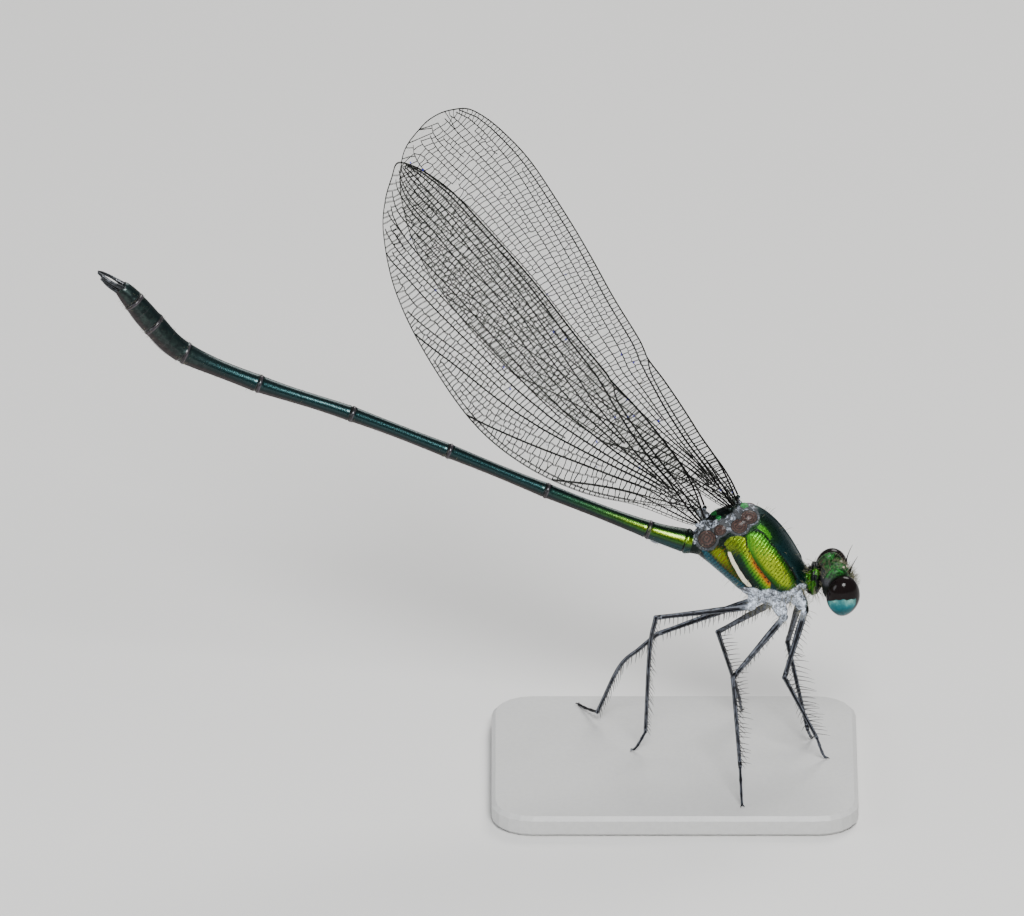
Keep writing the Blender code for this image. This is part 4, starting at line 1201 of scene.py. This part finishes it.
def make_feelers():
    """The two antennae: a stout base and a fine whip."""
    finish = leg_finish()
    turned = head_frame()
    for name in ("antenna_left", "antenna_right"):
        side = side_of(name)
        path = [turned @ mirrored(FEELER_ROOT + Vector(place), side) for place, _ in FEELER_PATH]
        radii = [radius for _, radius in FEELER_PATH]
        lengths = lengths_of(path)
        line = finely(path, 0.06)
        even = [float(np.interp(step, lengths, radii)) for step in np.linspace(0, lengths_of(line)[-1], 60)]
        bm = limb(line, even, 12)
        write_values(bm, "stripe", np.zeros(len(bm.verts)))
        write_values(bm, "reach", np.full(len(bm.verts), 9.0))
        add_piece(f"{name}_whip", bm, [finish], [name])


def leg_lines(name):
    """A leg's thigh, shin and foot as smooth lines."""
    hip, knee, bends, ankle, (foot_x, foot_y) = LEGS[name]
    hip, knee, ankle = Vector(hip), Vector(knee), Vector(ankle)
    sole = Vector((foot_x, foot_y, FLOOR_UNDER_FEET + TARSUS_RADII[-1]))
    thigh = curve_through([hip + leg_way(name) * 0.15, (hip + knee) / 2, knee], 8)
    shin = curve_through([knee, *bends, ankle], 10)
    middle = ankle.lerp(sole, 0.6) + Vector((0, 0, -0.10 * (ankle.z - sole.z)))
    foot = curve_through([ankle, middle, sole], 8)
    return thigh, shin, foot


def make_legs():
    """Six legs with knobbed joints, a jointed foot and two claws each."""
    finish = leg_finish()
    for name in LEGS:
        thigh, shin, foot = leg_lines(name)
        knee, ankle, toe = thigh[-1], shin[-1], foot[-1]
        parts = [limb(finely(thigh, 0.16), FEMUR_RADII, LEG_SIDES, 0.07),
                 limb(finely(shin, 0.16), TIBIA_RADII, LEG_SIDES, 0.09),
                 limb(finely(foot, 0.06), TARSUS_RADII, 14),
                 ball(knee, (0.20, 0.20, 0.20), 16, 12),
                 ball(ankle, (0.145, 0.145, 0.145), 14, 10)]
        level = Vector((toe.x - foot[-4].x, toe.y - foot[-4].y, 0)).normalized()
        across = Vector((-level.y, level.x, 0))
        for side in (1, -1):
            reach = [toe - level * 0.05, toe + level * 0.14 + across * side * 0.10 + Vector((0, 0, 0.05)),
                     toe + level * 0.27 + across * side * 0.15 - Vector((0, 0, 0.06))]
            parts.append(limb(curve_through(reach, 4), (0.05, 0.045, 0.012), 8))
        bm = together(*parts)
        points = places_of(bm)
        stripe = np.full(len(points), 1.0)
        hip = np.array(thigh[0][:])
        write_values(bm, "reach", np.linalg.norm(points - hip, axis=1))
        for line in (thigh, shin, foot):
            axis = np.array([p[:] for p in line])
            gap = np.full(len(points), 1e9)
            for a, b in zip(axis, axis[1:]):
                off = off_stretch(points, a, b)
                size = np.linalg.norm(off, axis=1)
                outward = off @ np.array((0.0, -0.96, 0.28))
                near = size < gap
                stripe = np.where(near & (size < 0.4), outward / np.maximum(size, 1e-6), stripe)
                gap = np.minimum(gap, size)
        write_values(bm, "stripe", stripe)
        add_piece(f"leg_{name}", bm, [finish],
                  [f"leg_{name}_{part}" for part in ("femur", "tibia", "tarsus")])


def leg_finish():
    """Dark grey with a pale bluish bloom in two lines along each side."""
    made, t = Finish("leg_cuticle"), tones()
    clouds = made.noise(3.2, 5.0, 0.65)
    fine = made.noise(20.0, 3.0)
    side = abs(made.own("stripe")) + (made.noise(1.2, 2.0) - 0.5) * 0.22
    line = side.between(0.40, 0.54) * side.between(0.90, 0.80)
    colour = made.mix(line * clouds.between(0.34, 0.60), t.leg, t.bloom)
    near = (made.own("reach") + (clouds - 0.5) * 2.0).between(1.0, 0.1)
    colour = made.mix(near * 0.85, colour, toned(t.frost, 0.8))
    speck = made.cells(5.5).between(0.12, 0.05)
    colour = made.mix(speck * 0.6, colour, toned(t.frost, 0.9))
    rough = clouds.between(0.3, 0.7, 0.36, 0.54)
    return made.shade(Base_Color=colour, Roughness=rough, Metallic=(1 - line.most(near)) * 0.85, IOR=1.40,
                      Normal=made.bump(fine + made.cells(22.0) * 0.5, 0.012, 0.6))


def make_leg_spines():
    """Two rows of long thin spines along each thigh and shin."""
    draw = random.Random(SPINE_SEED)
    paths, unwrap = [], []
    for number, name in enumerate(LEGS):
        pair = name.split("_")[0]
        hip, knee, _, ankle, _ = LEGS[name]
        thigh, shin, _ = leg_lines(name)
        for limb_name, line, inner, radii in (
                ("femur", thigh, Vector(ankle) - Vector(knee), FEMUR_RADII),
                ("tibia", shin, Vector(hip) - Vector(knee), TIBIA_RADII)):
            length, spacing, lean = SPINES[f"{pair}_{limb_name}"]
            lengths = lengths_of(line)
            ways = ways_along(line)
            count = int(lengths[-1] / spacing)
            for step in range(1, count):
                share = step / count
                for row in (1, -1):
                    at = lengths[-1] * share + draw.uniform(-0.25, 0.25) * spacing
                    n = min(int(np.searchsorted(lengths, at)) - 1, len(line) - 2)
                    place = line[n].lerp(line[n + 1], (at - lengths[n]) / (lengths[n + 1] - lengths[n]))
                    way = ways[n]
                    over = (inner - way * inner.dot(way)).normalized()
                    out = Matrix.Rotation(row * (SPINE_ROWS + draw.uniform(-0.12, 0.12)), 3, way) @ over
                    tilt = math.radians(lean + draw.uniform(-6, 6))
                    aim = out * math.cos(tilt) + way * math.sin(tilt)
                    size = length * draw.uniform(0.80, 1.08) * (0.72 + 0.28 * math.sin(math.pi * share))
                    start = place + out * spread_over(radii, share) * 0.7
                    bend = way * 0.10 * size
                    path = [(start, SPINE_RADIUS * 1.3), (start + aim * size * 0.3, SPINE_RADIUS),
                            (start + aim * size * 0.66 + bend * 0.3, SPINE_RADIUS * 0.7),
                            (start + aim * size + bend, SPINE_RADIUS * 0.25)]
                    if path[-1][0].z > FLOOR_UNDER_FEET + 0.05:
                        paths.append(path)
                        unwrap.append((0.02 + 0.9 * share, 0.02 + 0.15 * number + 0.05 * (row > 0)))
    made, t = Finish("spine_horn"), tones()
    tint = made.mix(made.noise(3.0).between(0.35, 0.65), t.leg, toned(t.umber, 0.5))
    finish = made.shade(Base_Color=tint, Roughness=0.45)
    strands("leg_spines", paths, finish, unwrap=unwrap)


def tail_place(side, root):
    """A place on the tail's end face, out to a side and up, and the way out of it."""
    (x0, z0, _), (x1, z1, _) = ABDOMEN[-2:]
    way = Vector((x1 - x0, 0, z1 - z0)).normalized()
    out, up = root
    return Vector((x1, side * out, z1)) + Vector((way.z, 0, -way.x)) * up, way


def make_claspers():
    """The upper pair bowed like tongs, with a tooth inside each, and the short lower pair."""
    finish = clasper_finish()
    for name in ("clasper_left", "clasper_right"):
        side = side_of(name)
        start, way = tail_place(side, CLASPER_ROOT)
        start = start - way * 0.25
        path = []
        for n, bow in enumerate(CLASPER_BOW):
            share = n / (len(CLASPER_BOW) - 1)
            spot = start.lerp(CLASPER_TIP, share)
            path.append(Vector((spot.x, side * (CLASPER_ROOT[0] + bow), spot.z)))
        line = curve_through(path, 6)
        tooth = line[16]
        aim = Vector((-0.2, -side, 0.1)).normalized()
        parts = [limb(finely(line, 0.07), CLASPER_RADII, 18),
                 limb(finely([tooth, tooth + aim * 0.16, tooth + aim * 0.30], 0.05),
                      (0.11, 0.07, 0.03), 12),
                 ball(start + way * 0.05, (0.22, 0.20, 0.22), 18, 12)]
        low, way = tail_place(side, LOWER_CLASPER_ROOT)
        tip = LOWER_CLASPER_TIP + Vector((0, side * LOWER_CLASPER_ROOT[0], 0))
        middle = (low + tip) / 2 + Vector((0, side * 0.06, -0.05))
        parts.append(limb(finely(curve_through([low - way * 0.3, low, middle, tip], 5), 0.07),
                          LOWER_CLASPER_RADII, 16))
        add_piece(f"{name}_tong", together(*parts), [finish], [name])


def clasper_finish():
    """Blackish horn with a cloudy grey bloom."""
    made, t = Finish("clasper_horn"), tones()
    clouds = made.noise(3.0, 5.0, 0.65)
    colour = made.mix(clouds.between(0.45, 0.72) * 0.5, (0.012, 0.014, 0.016), toned(t.frost, 0.45))
    return made.shade(Base_Color=colour, Roughness=clouds.between(0.3, 0.7, 0.26, 0.45), Metallic=0.7,
                      Normal=made.bump(made.noise(16.0), 0.012, 0.6), Coat_Weight=0.3)


def wing_axes(wing):
    """The directions along a wing to its tip and across it to its front edge."""
    rise = wing["rise"]
    return Vector((-math.cos(rise), 0, math.sin(rise))), Vector((math.sin(rise), 0, math.cos(rise)))


def wing_edges(wing):
    """The wing's front and rear edges as arrays of (along, ahead), each from the root to the tip."""
    points = [(*point, 0.0) for part in ("front", "tip", "rear") for point in wing[part]]
    rim = np.array([place[:2] for place in curve_through(points, 10)])
    turn = int(np.argmax(rim[:, 0]))
    return rim[:turn + 1], rim[turn:][::-1]


def wing_spot(wing, side, along, ahead, lift=0.0):
    """A place on a wing's film, in millimetres."""
    out_along, forward = wing_axes(wing)
    share = min(max(along / WING_SPREAD_LENGTH, 0.0), 1.0)
    ease = share * share * (3 - 2 * share)
    out = wing["root"].y + (wing["spread"] - wing["root"].y) * ease + lift
    spot = mirrored(wing["root"], 0) + out_along * along + forward * ahead
    return Vector((spot.x, side * out, spot.z))


def across_wing(front, rear, along, share):
    """Places at lengths along a wing and at shares of the way from its front to its rear edge."""
    ahead_front = np.interp(along, front[:, 0], front[:, 1])
    ahead_rear = np.interp(along, rear[:, 0], rear[:, 1])
    return np.stack([along, ahead_front + (ahead_rear - ahead_front) * share], axis=1)


def long_veins(front, rear):
    """The long veins as arrays of (along, ahead), with their thickness at each point."""
    length = front[-1, 0]
    made = []
    for points, (thick, middling, thin) in (*LONG_VEINS, ARCULUS):
        line = np.array([place[:2] for place in curve_through([(*point, 0.0) for point in points], 9)])
        along = length * line[:, 0]
        radius = np.interp(line[:, 0], (0.0, 0.12, NODE_SHARE, 1.0),
                           (thick, (thick + middling) / 2, middling, thin))
        made.append((across_wing(front, rear, along, line[:, 1]), radius))
    return made


def hits(origin, aims, starts, ends):
    """For each ray, how far the nearest of the stretches is, and inf where it meets none."""
    stretch = ends - starts
    nearest = np.full(len(origin), np.inf)
    for n in range(len(origin)):
        aim = aims[n]
        cross = aim[0] * stretch[:, 1] - aim[1] * stretch[:, 0]
        off = starts - origin[n]
        with np.errstate(divide="ignore", invalid="ignore"):
            reach = (off[:, 0] * stretch[:, 1] - off[:, 1] * stretch[:, 0]) / cross
            share = (off[:, 0] * aim[1] - off[:, 1] * aim[0]) / cross
        good = (reach > 0.06) & (share >= 0) & (share <= 1) & (np.abs(cross) > 1e-12)
        if good.any():
            nearest[n] = reach[good].min()
    return nearest


def stretches(lines):
    """The starts and ends of every straight stretch of some lines."""
    return (np.concatenate([line[:-1] for line in lines]), np.concatenate([line[1:] for line in lines]))


def evenly(line, spacing, draw, jitter=0.22):
    """Places on a line at a jittered spacing, with the line's direction at each."""
    lengths = np.concatenate([[0], np.cumsum(np.linalg.norm(np.diff(line, axis=0), axis=1))])
    at, spots = spacing * draw.uniform(0.3, 0.7), []
    while at < lengths[-1]:
        spots.append(at)
        at += spacing * draw.uniform(1 - jitter, 1 + jitter)
    spots = np.array(spots)
    places, ahead, behind = (
        np.stack([np.interp(spots + step, lengths, line[:, axis]) for axis in (0, 1)], axis=1)
        for step in (0.0, 0.15, -0.15))
    ways = ahead - behind
    return places, ways / np.maximum(np.linalg.norm(ways, axis=1, keepdims=True), 1e-9)


def wing_net(wing, seed):
    """Every vein of a wing: (array of places, half thickness at each), long ones first."""
    draw = random.Random(seed)
    front, rear = wing_edges(wing)
    length = front[-1, 0]
    veins = long_veins(front, rear)
    spacing = measures().cell_length / MM
    lines = [path for path, _ in veins]
    for _ in range(HALVING_ROUNDS):
        starts, ends = stretches([*lines, front, rear])
        found = []
        for line in list(lines):
            places, ways = evenly(line, spacing * 0.9, draw, 0.05)
            aims = np.stack([ways[:, 1], -ways[:, 0]], axis=1)
            reach = hits(places, aims, starts, ends)
            wide = (reach > CELL_WIDTH) & np.isfinite(reach) & (places[:, 0] > length * HALVING_START)
            run = []
            for n in range(len(places) + 1):
                if n < len(places) and wide[n]:
                    zigzag = HALVING_ZIGZAG if len(run) % 2 else -HALVING_ZIGZAG
                    half_way = reach[n] * (0.5 + draw.uniform(-0.03, 0.03))
                    run.append(places[n] + aims[n] * (half_way + zigzag))
                    continue
                if len(run) > HALVING_CELLS:
                    found.append(np.array(run))
                run = []
        if not found:
            break
        lines += found
        veins += [(line, np.full(len(line), HALVING_RADIUS)) for line in found]
    starts, ends = stretches([*lines, front, rear])
    for number, line in enumerate([front[:-3], *lines]):
        places, ways = evenly(line, spacing * (0.84 if number < 3 else 1.0), draw)
        places, ways = places[places[:, 0] > length * 0.012], ways[places[:, 0] > length * 0.012]
        if not len(places):
            continue
        tilt = np.array([draw.uniform(-0.16, 0.16) for _ in places])
        aims = np.stack([ways[:, 1], -ways[:, 0]], axis=1) + ways * tilt[:, None]
        reach = hits(places, aims, starts, ends)
        for place, aim, far in zip(places, aims, reach):
            if far < (1.1 if place[0] < length * 0.055 else 2.2):
                bow = 0.5 + draw.uniform(-0.1, 0.1)
                kink = np.array([-aim[1], aim[0]]) * draw.uniform(-0.10, 0.10) * min(far, 0.6)
                path = np.array([place, place + aim * far * bow + kink, place + aim * far])
                bolder = (1.0 if number < 2 else 0.5) * max(0, 1 - place[0] / (length * 0.3))
                thick = CROSS_VEIN_RADIUS * (1 + bolder)
                veins.append((path, np.full(3, thick)))
    rim_front = RIM_RADII[0] + (RIM_RADII[1] - RIM_RADII[0]) * np.linspace(0, 1, len(front)) ** 0.5
    veins.append((front, rim_front))
    veins.append((rear, RIM_RADII[2] + (RIM_RADII[1] - RIM_RADII[2]) * np.linspace(0, 1, len(rear))))
    return veins


def make_wing(kind, side_name, finishes):
    """One wing: its clear film, and its net of veins on it."""
    wing, side = WINGS[kind], side_of(side_name)
    vein_finish, film_finish = finishes
    front, rear = wing_edges(wing)
    length = front[-1, 0]
    bm = bmesh.new()
    bmesh.ops.create_grid(bm, x_segments=FILM_GRID[0], y_segments=FILM_GRID[1], size=1.0)
    for vert in bm.verts:
        t, share = (vert.co.x + 1) / 2, (vert.co.y + 1) / 2
        along = length * math.sin(math.pi / 2 * min(1.0, t)) ** 0.98
        top = float(np.interp(along, front[:, 0], front[:, 1]))
        low = float(np.interp(along, rear[:, 0], rear[:, 1]))
        vert.co = wing_spot(wing, side, along, top + (low - top) * share, -FILM_THICKNESS / 2)
    bmesh.ops.remove_doubles(bm, verts=bm.verts, dist=1e-4)
    bm.faces.ensure_lookup_table()
    bm.normal_update()
    if bm.faces[len(bm.faces) // 2].normal.y * side < 0:
        bmesh.ops.reverse_faces(bm, faces=bm.faces)
    bmesh.ops.solidify(bm, geom=bm.faces[:], thickness=-FILM_THICKNESS)
    bmesh.ops.recalc_face_normals(bm, faces=bm.faces)
    name = f"{kind}_{side_name}"
    add_piece(f"{name}_film", bm, [film_finish], [name])
    paths = []
    for places, radii in wing_net(wing, kind):
        paths.append([(wing_spot(wing, side, float(a), float(b)), float(r))
                      for (a, b), r in zip(places, radii)])
    strands(f"{name}_veins", paths, vein_finish)


def vein_finish():
    """Black veins with a faint satin gloss."""
    made, t = Finish("wing_vein"), tones()
    colour = made.mix(made.noise(1.2, 3.0).between(0.35, 0.7), t.vein, toned(t.vein, 2.2))
    return made.shade(Base_Color=colour, Roughness=0.40, Metallic=0.9)


def film_finish():
    """Clear smoky film with a faint grey haze, a silky gloss and a few blue-violet glints."""
    made, t = Finish("wing_film"), tones()
    flat = made.stretched((1, 0.05, 1))
    pick = made.node("ShaderNodeSeparateColor", None, {0: made.cells(2.2, flat, 1)}, "Red")
    spot = made.cells(2.2, flat)
    glint = pick.between(0.950, 0.960) * spot.between(0.20, 0.08)
    clouds = made.noise(0.5, 4.0)
    colour = made.mix(clouds.between(0.3, 0.7), t.film, toned(t.film, 1.5))
    colour = made.mix(glint, colour, (0.06, 0.05, 0.80))
    cover = measures().film_alpha
    alpha = clouds.between(0.25, 0.75, cover * 0.7, cover * 1.3) + glint * 0.75
    return made.shade(Base_Color=colour, Alpha=alpha, Metallic=glint * 0.5, Roughness=0.22, IOR=1.5)


def make_hairs(skin):
    """Fine pale hairs of the thorax and abdomen."""
    draw = random.Random(HAIR_SEED)
    mesh = skin.data
    corners = [vert.co / MM + MIDDLE for vert in mesh.vertices]
    normals = [vert.normal.copy() for vert in mesh.vertices]
    paths, unwrap = [], []
    length = measures().hair_length / MM
    order = list(range(len(corners)))
    draw.shuffle(order)
    for n in order:
        place, normal = corners[n], normals[n]
        chest = place.x > -1.6
        if chest:
            back = normal.z > 0.55 and place.x > 2.2
            low = normal.z < 0.1 and place.z - abs(place.y) * SIDE_SLOPE < 13.2
            chance = 0.055 if back else 0.060 if low else 0.010
            size = length * draw.uniform(0.7, 1.35) * (1.0 if back or low else 0.45)
        else:
            low = normal.z < -0.3
            tail = place.x < -38
            chance = 0.022 if low or tail else 0.008
            size = length * draw.uniform(0.2, 0.42)
        if draw.random() > chance:
            continue
        sweep = Vector((-0.25, draw.uniform(-0.25, 0.25), -0.25)) if chest else Vector((-0.5, 0, 0.2))
        aim = (normal + sweep * draw.uniform(0.4, 1.2)).normalized()
        bend = Vector((draw.uniform(-0.2, 0.2), draw.uniform(-0.2, 0.2), -0.22)) * size
        root = place - normal * 0.02
        thick = 0.015 if chest else 0.010
        paths.append([(root, thick), (root + aim * size * 0.4, thick * 0.85),
                      (root + aim * size * 0.75 + bend * 0.3, thick * 0.6),
                      (root + aim * size + bend, thick * 0.2)])
        turn = math.atan2(place.y, place.z - 15) / (2 * math.pi) + 0.5
        unwrap.append((0.01 + 0.97 * (place.x + 46) / 56, 0.01 + 0.97 * turn))
    strands("body_hairs", paths, hair_finish(), unwrap=unwrap)


def make_face_bristles():
    """Pale bristles on the face and crown."""
    draw = random.Random(BRISTLE_SEED)
    turned = head_frame()
    paths, unwrap = [], []
    for name, count, size in BRISTLES:
        middle, half = HEAD_PLATES[name]
        for _ in range(count):
            side = draw.choice((1, -1)) if middle[1] else 1
            away_from = Vector((draw.uniform(-0.2, 1), draw.uniform(-1, 1), draw.uniform(-0.6, 1)))
            if name in ("crown", "nape", "socket"):
                away_from = Vector((draw.uniform(-1, 1), draw.uniform(-1, 1), draw.uniform(0.2, 1)))
            if away_from.length < 0.2:
                continue
            away_from.normalize()
            half_axes = Vector(half)
            spot = mirrored(middle, side) + Vector([a * b for a, b in zip(away_from, half_axes)])
            normal = Vector([a / b for a, b in zip(away_from, half_axes)]).normalized()
            if abs(spot.y) > BRISTLE_REACH_OUT:
                continue
            aim = (normal + Vector((0.35, 0, 0.35))).normalized()
            reach = size * draw.uniform(0.6, 1.35)
            line = [spot - normal * 0.05, spot + aim * reach * 0.4, spot + aim * reach * 0.75,
                    spot + aim * reach + Vector((0.0, 0.0, 0.05))]
            paths.append([(turned @ place, radius) for place, radius in zip(line, BRISTLE_RADII)])
            unwrap.append((0.5 + 0.2 * spot.y, 0.5 + 0.2 * spot.z))
    strands("face_bristles", paths, hair_finish(), unwrap=unwrap)


def hair_finish():
    """Pale translucent hair."""
    made, t = Finish("pale_hair"), tones()
    tint = made.mix(made.noise(0.8).between(0.35, 0.65), t.hair, toned(t.hair, 0.6))
    return made.shade(Base_Color=tint, Roughness=0.5)


def base_finish():
    """Satin pale acrylic with a faint grain."""
    made, t = Finish("base_acrylic"), tones()
    grain = made.noise(2.5, 6.0, 0.7)
    colour = made.mix(grain.between(0.35, 0.65), t.plate, toned(t.plate, 0.94))
    rough = made.noise(0.35, 4.0).between(0.3, 0.7, 0.36, 0.50)
    return made.shade(Base_Color=colour, Roughness=rough, Normal=made.bump(grain, 0.010, 0.35),
                      Coat_Weight=0.1, Coat_Roughness=0.3)


def area_light(name, place, size, power, tint):
    """A soft round light that looks at the model."""
    lamp = bpy.data.lights.new(name, "AREA")
    lamp.shape, lamp.size, lamp.energy, lamp.color = "DISK", size, power, tint
    made = bpy.data.objects.new(name, lamp)
    bpy.context.scene.collection.objects.link(made)
    aim = (CAMERA_TARGET - MIDDLE) * MM
    made.location = aim + Vector(place)
    made.rotation_euler = (aim - made.location).to_track_quat("-Z", "Y").to_euler()


class DAMSELFLY_OT_stage(bpy.types.Operator):
    """Make the floor, the lights and the camera"""

    bl_idname = "damselfly.stage"
    bl_label = "Stage"

    def execute(self, context):
        bm = bmesh.new()
        bmesh.ops.create_grid(bm, x_segments=1, y_segments=1, size=FLOOR_HALF)
        mesh = bpy.data.meshes.new("floor")
        bm.to_mesh(mesh)
        bm.free()
        floor = bpy.data.objects.new("floor", mesh)
        context.scene.collection.objects.link(floor)
        made, t = Finish("floor_paper"), tones()
        paper = made.mix(made.noise(0.02, 3.0).between(0.3, 0.7), t.floor, toned(t.floor, 0.985))
        mesh.materials.append(made.shade(Base_Color=paper, Roughness=0.8))
        world = bpy.data.worlds.new("studio")
        world.use_nodes = True
        sky = world.node_tree.nodes["Background"]
        sky.inputs["Color"].default_value = SKY
        sky.inputs["Strength"].default_value = SKY_STRENGTH
        context.scene.world = world
        for light in LIGHTS:
            area_light(*light)
        lens = bpy.data.cameras.new("camera")
        lens.lens, lens.sensor_width = CAMERA_LENS, 36.0
        lens.clip_start, lens.clip_end = 0.01, 20.0
        eye = bpy.data.objects.new("camera", lens)
        context.scene.collection.objects.link(eye)
        aim = (CAMERA_TARGET - MIDDLE) * MM
        back = Vector((0, -math.cos(CAMERA_RISE), math.sin(CAMERA_RISE)))
        eye.location = aim + back * CAMERA_DISTANCE * MM
        eye.rotation_euler = (-back).to_track_quat("-Z", "Y").to_euler()
        context.scene.camera = eye
        return {"FINISHED"}


class DAMSELFLY_OT_body(bpy.types.Operator):
    """Make the one skin of thorax and abdomen, and its fine hairs"""

    bl_idname = "damselfly.body"
    bl_label = "Body"

    def execute(self, context):
        make_hairs(make_skin())
        return {"FINISHED"}


class DAMSELFLY_OT_head(bpy.types.Operator):
    """Make the head, its eyes, eyelets, antennae and bristles"""

    bl_idname = "damselfly.head"
    bl_label = "Head"

    def execute(self, context):
        make_head()
        make_eyes()
        make_ocelli()
        make_feelers()
        make_face_bristles()
        return {"FINISHED"}


class DAMSELFLY_OT_legs(bpy.types.Operator):
    """Make the six legs and their spines"""

    bl_idname = "damselfly.legs"
    bl_label = "Legs"

    def execute(self, context):
        make_legs()
        make_leg_spines()
        return {"FINISHED"}


class DAMSELFLY_OT_tail(bpy.types.Operator):
    """Make the claspers at the tail"""

    bl_idname = "damselfly.tail"
    bl_label = "Claspers"

    def execute(self, context):
        make_claspers()
        return {"FINISHED"}


class DAMSELFLY_OT_wings(bpy.types.Operator):
    """Make the four wings, each a clear film and its net of veins"""

    bl_idname = "damselfly.wings"
    bl_label = "Wings"

    def execute(self, context):
        finishes = vein_finish(), film_finish()
        for kind in WINGS:
            for side_name in ("left", "right"):
                make_wing(kind, side_name, finishes)
        return {"FINISHED"}


class DAMSELFLY_OT_base(bpy.types.Operator):
    """Finish the plate that the damselfly stands on"""

    bl_idname = "damselfly.base"
    bl_label = "Base"

    def execute(self, context):
        plate = frame["nodes"]["stand_base"]
        plate.data.materials.clear()
        plate.data.materials.append(base_finish())
        return {"FINISHED"}


class DAMSELFLY_PT_panel(bpy.types.Panel):
    """The buttons that build the damselfly, and its colours and sizes"""

    bl_idname = "DAMSELFLY_PT_panel"
    bl_label = "Damselfly"
    bl_space_type = "VIEW_3D"
    bl_region_type = "UI"
    bl_category = "Damselfly"

    def draw(self, context):
        for operator in OPERATORS:
            self.layout.operator(operator.bl_idname)
        for group in (context.scene.damselfly_tones, context.scene.damselfly_measures):
            for name in type(group).__annotations__:
                self.layout.prop(group, name)


OPERATORS = (DAMSELFLY_OT_stage, DAMSELFLY_OT_body, DAMSELFLY_OT_head, DAMSELFLY_OT_legs,
             DAMSELFLY_OT_tail, DAMSELFLY_OT_wings, DAMSELFLY_OT_base)


def register():
    """Make the operators, the panel and the two groups of properties known to Blender."""
    for known in (Tones, Measures, *OPERATORS, DAMSELFLY_PT_panel):
        bpy.utils.register_class(known)
    bpy.types.Scene.damselfly_tones = bpy.props.PointerProperty(type=Tones)
    bpy.types.Scene.damselfly_measures = bpy.props.PointerProperty(type=Measures)


def unregister():
    """Take them back out."""
    del bpy.types.Scene.damselfly_measures
    del bpy.types.Scene.damselfly_tones
    for known in (DAMSELFLY_PT_panel, *reversed(OPERATORS), Measures, Tones):
        bpy.utils.unregister_class(known)


def main():
    """Build every piece in order."""
    register()
    bpy.ops.damselfly.stage()
    bpy.ops.damselfly.body()
    bpy.ops.damselfly.head()
    bpy.ops.damselfly.legs()
    bpy.ops.damselfly.tail()
    bpy.ops.damselfly.wings()
    bpy.ops.damselfly.base()


if __name__ == "__main__":
    main()
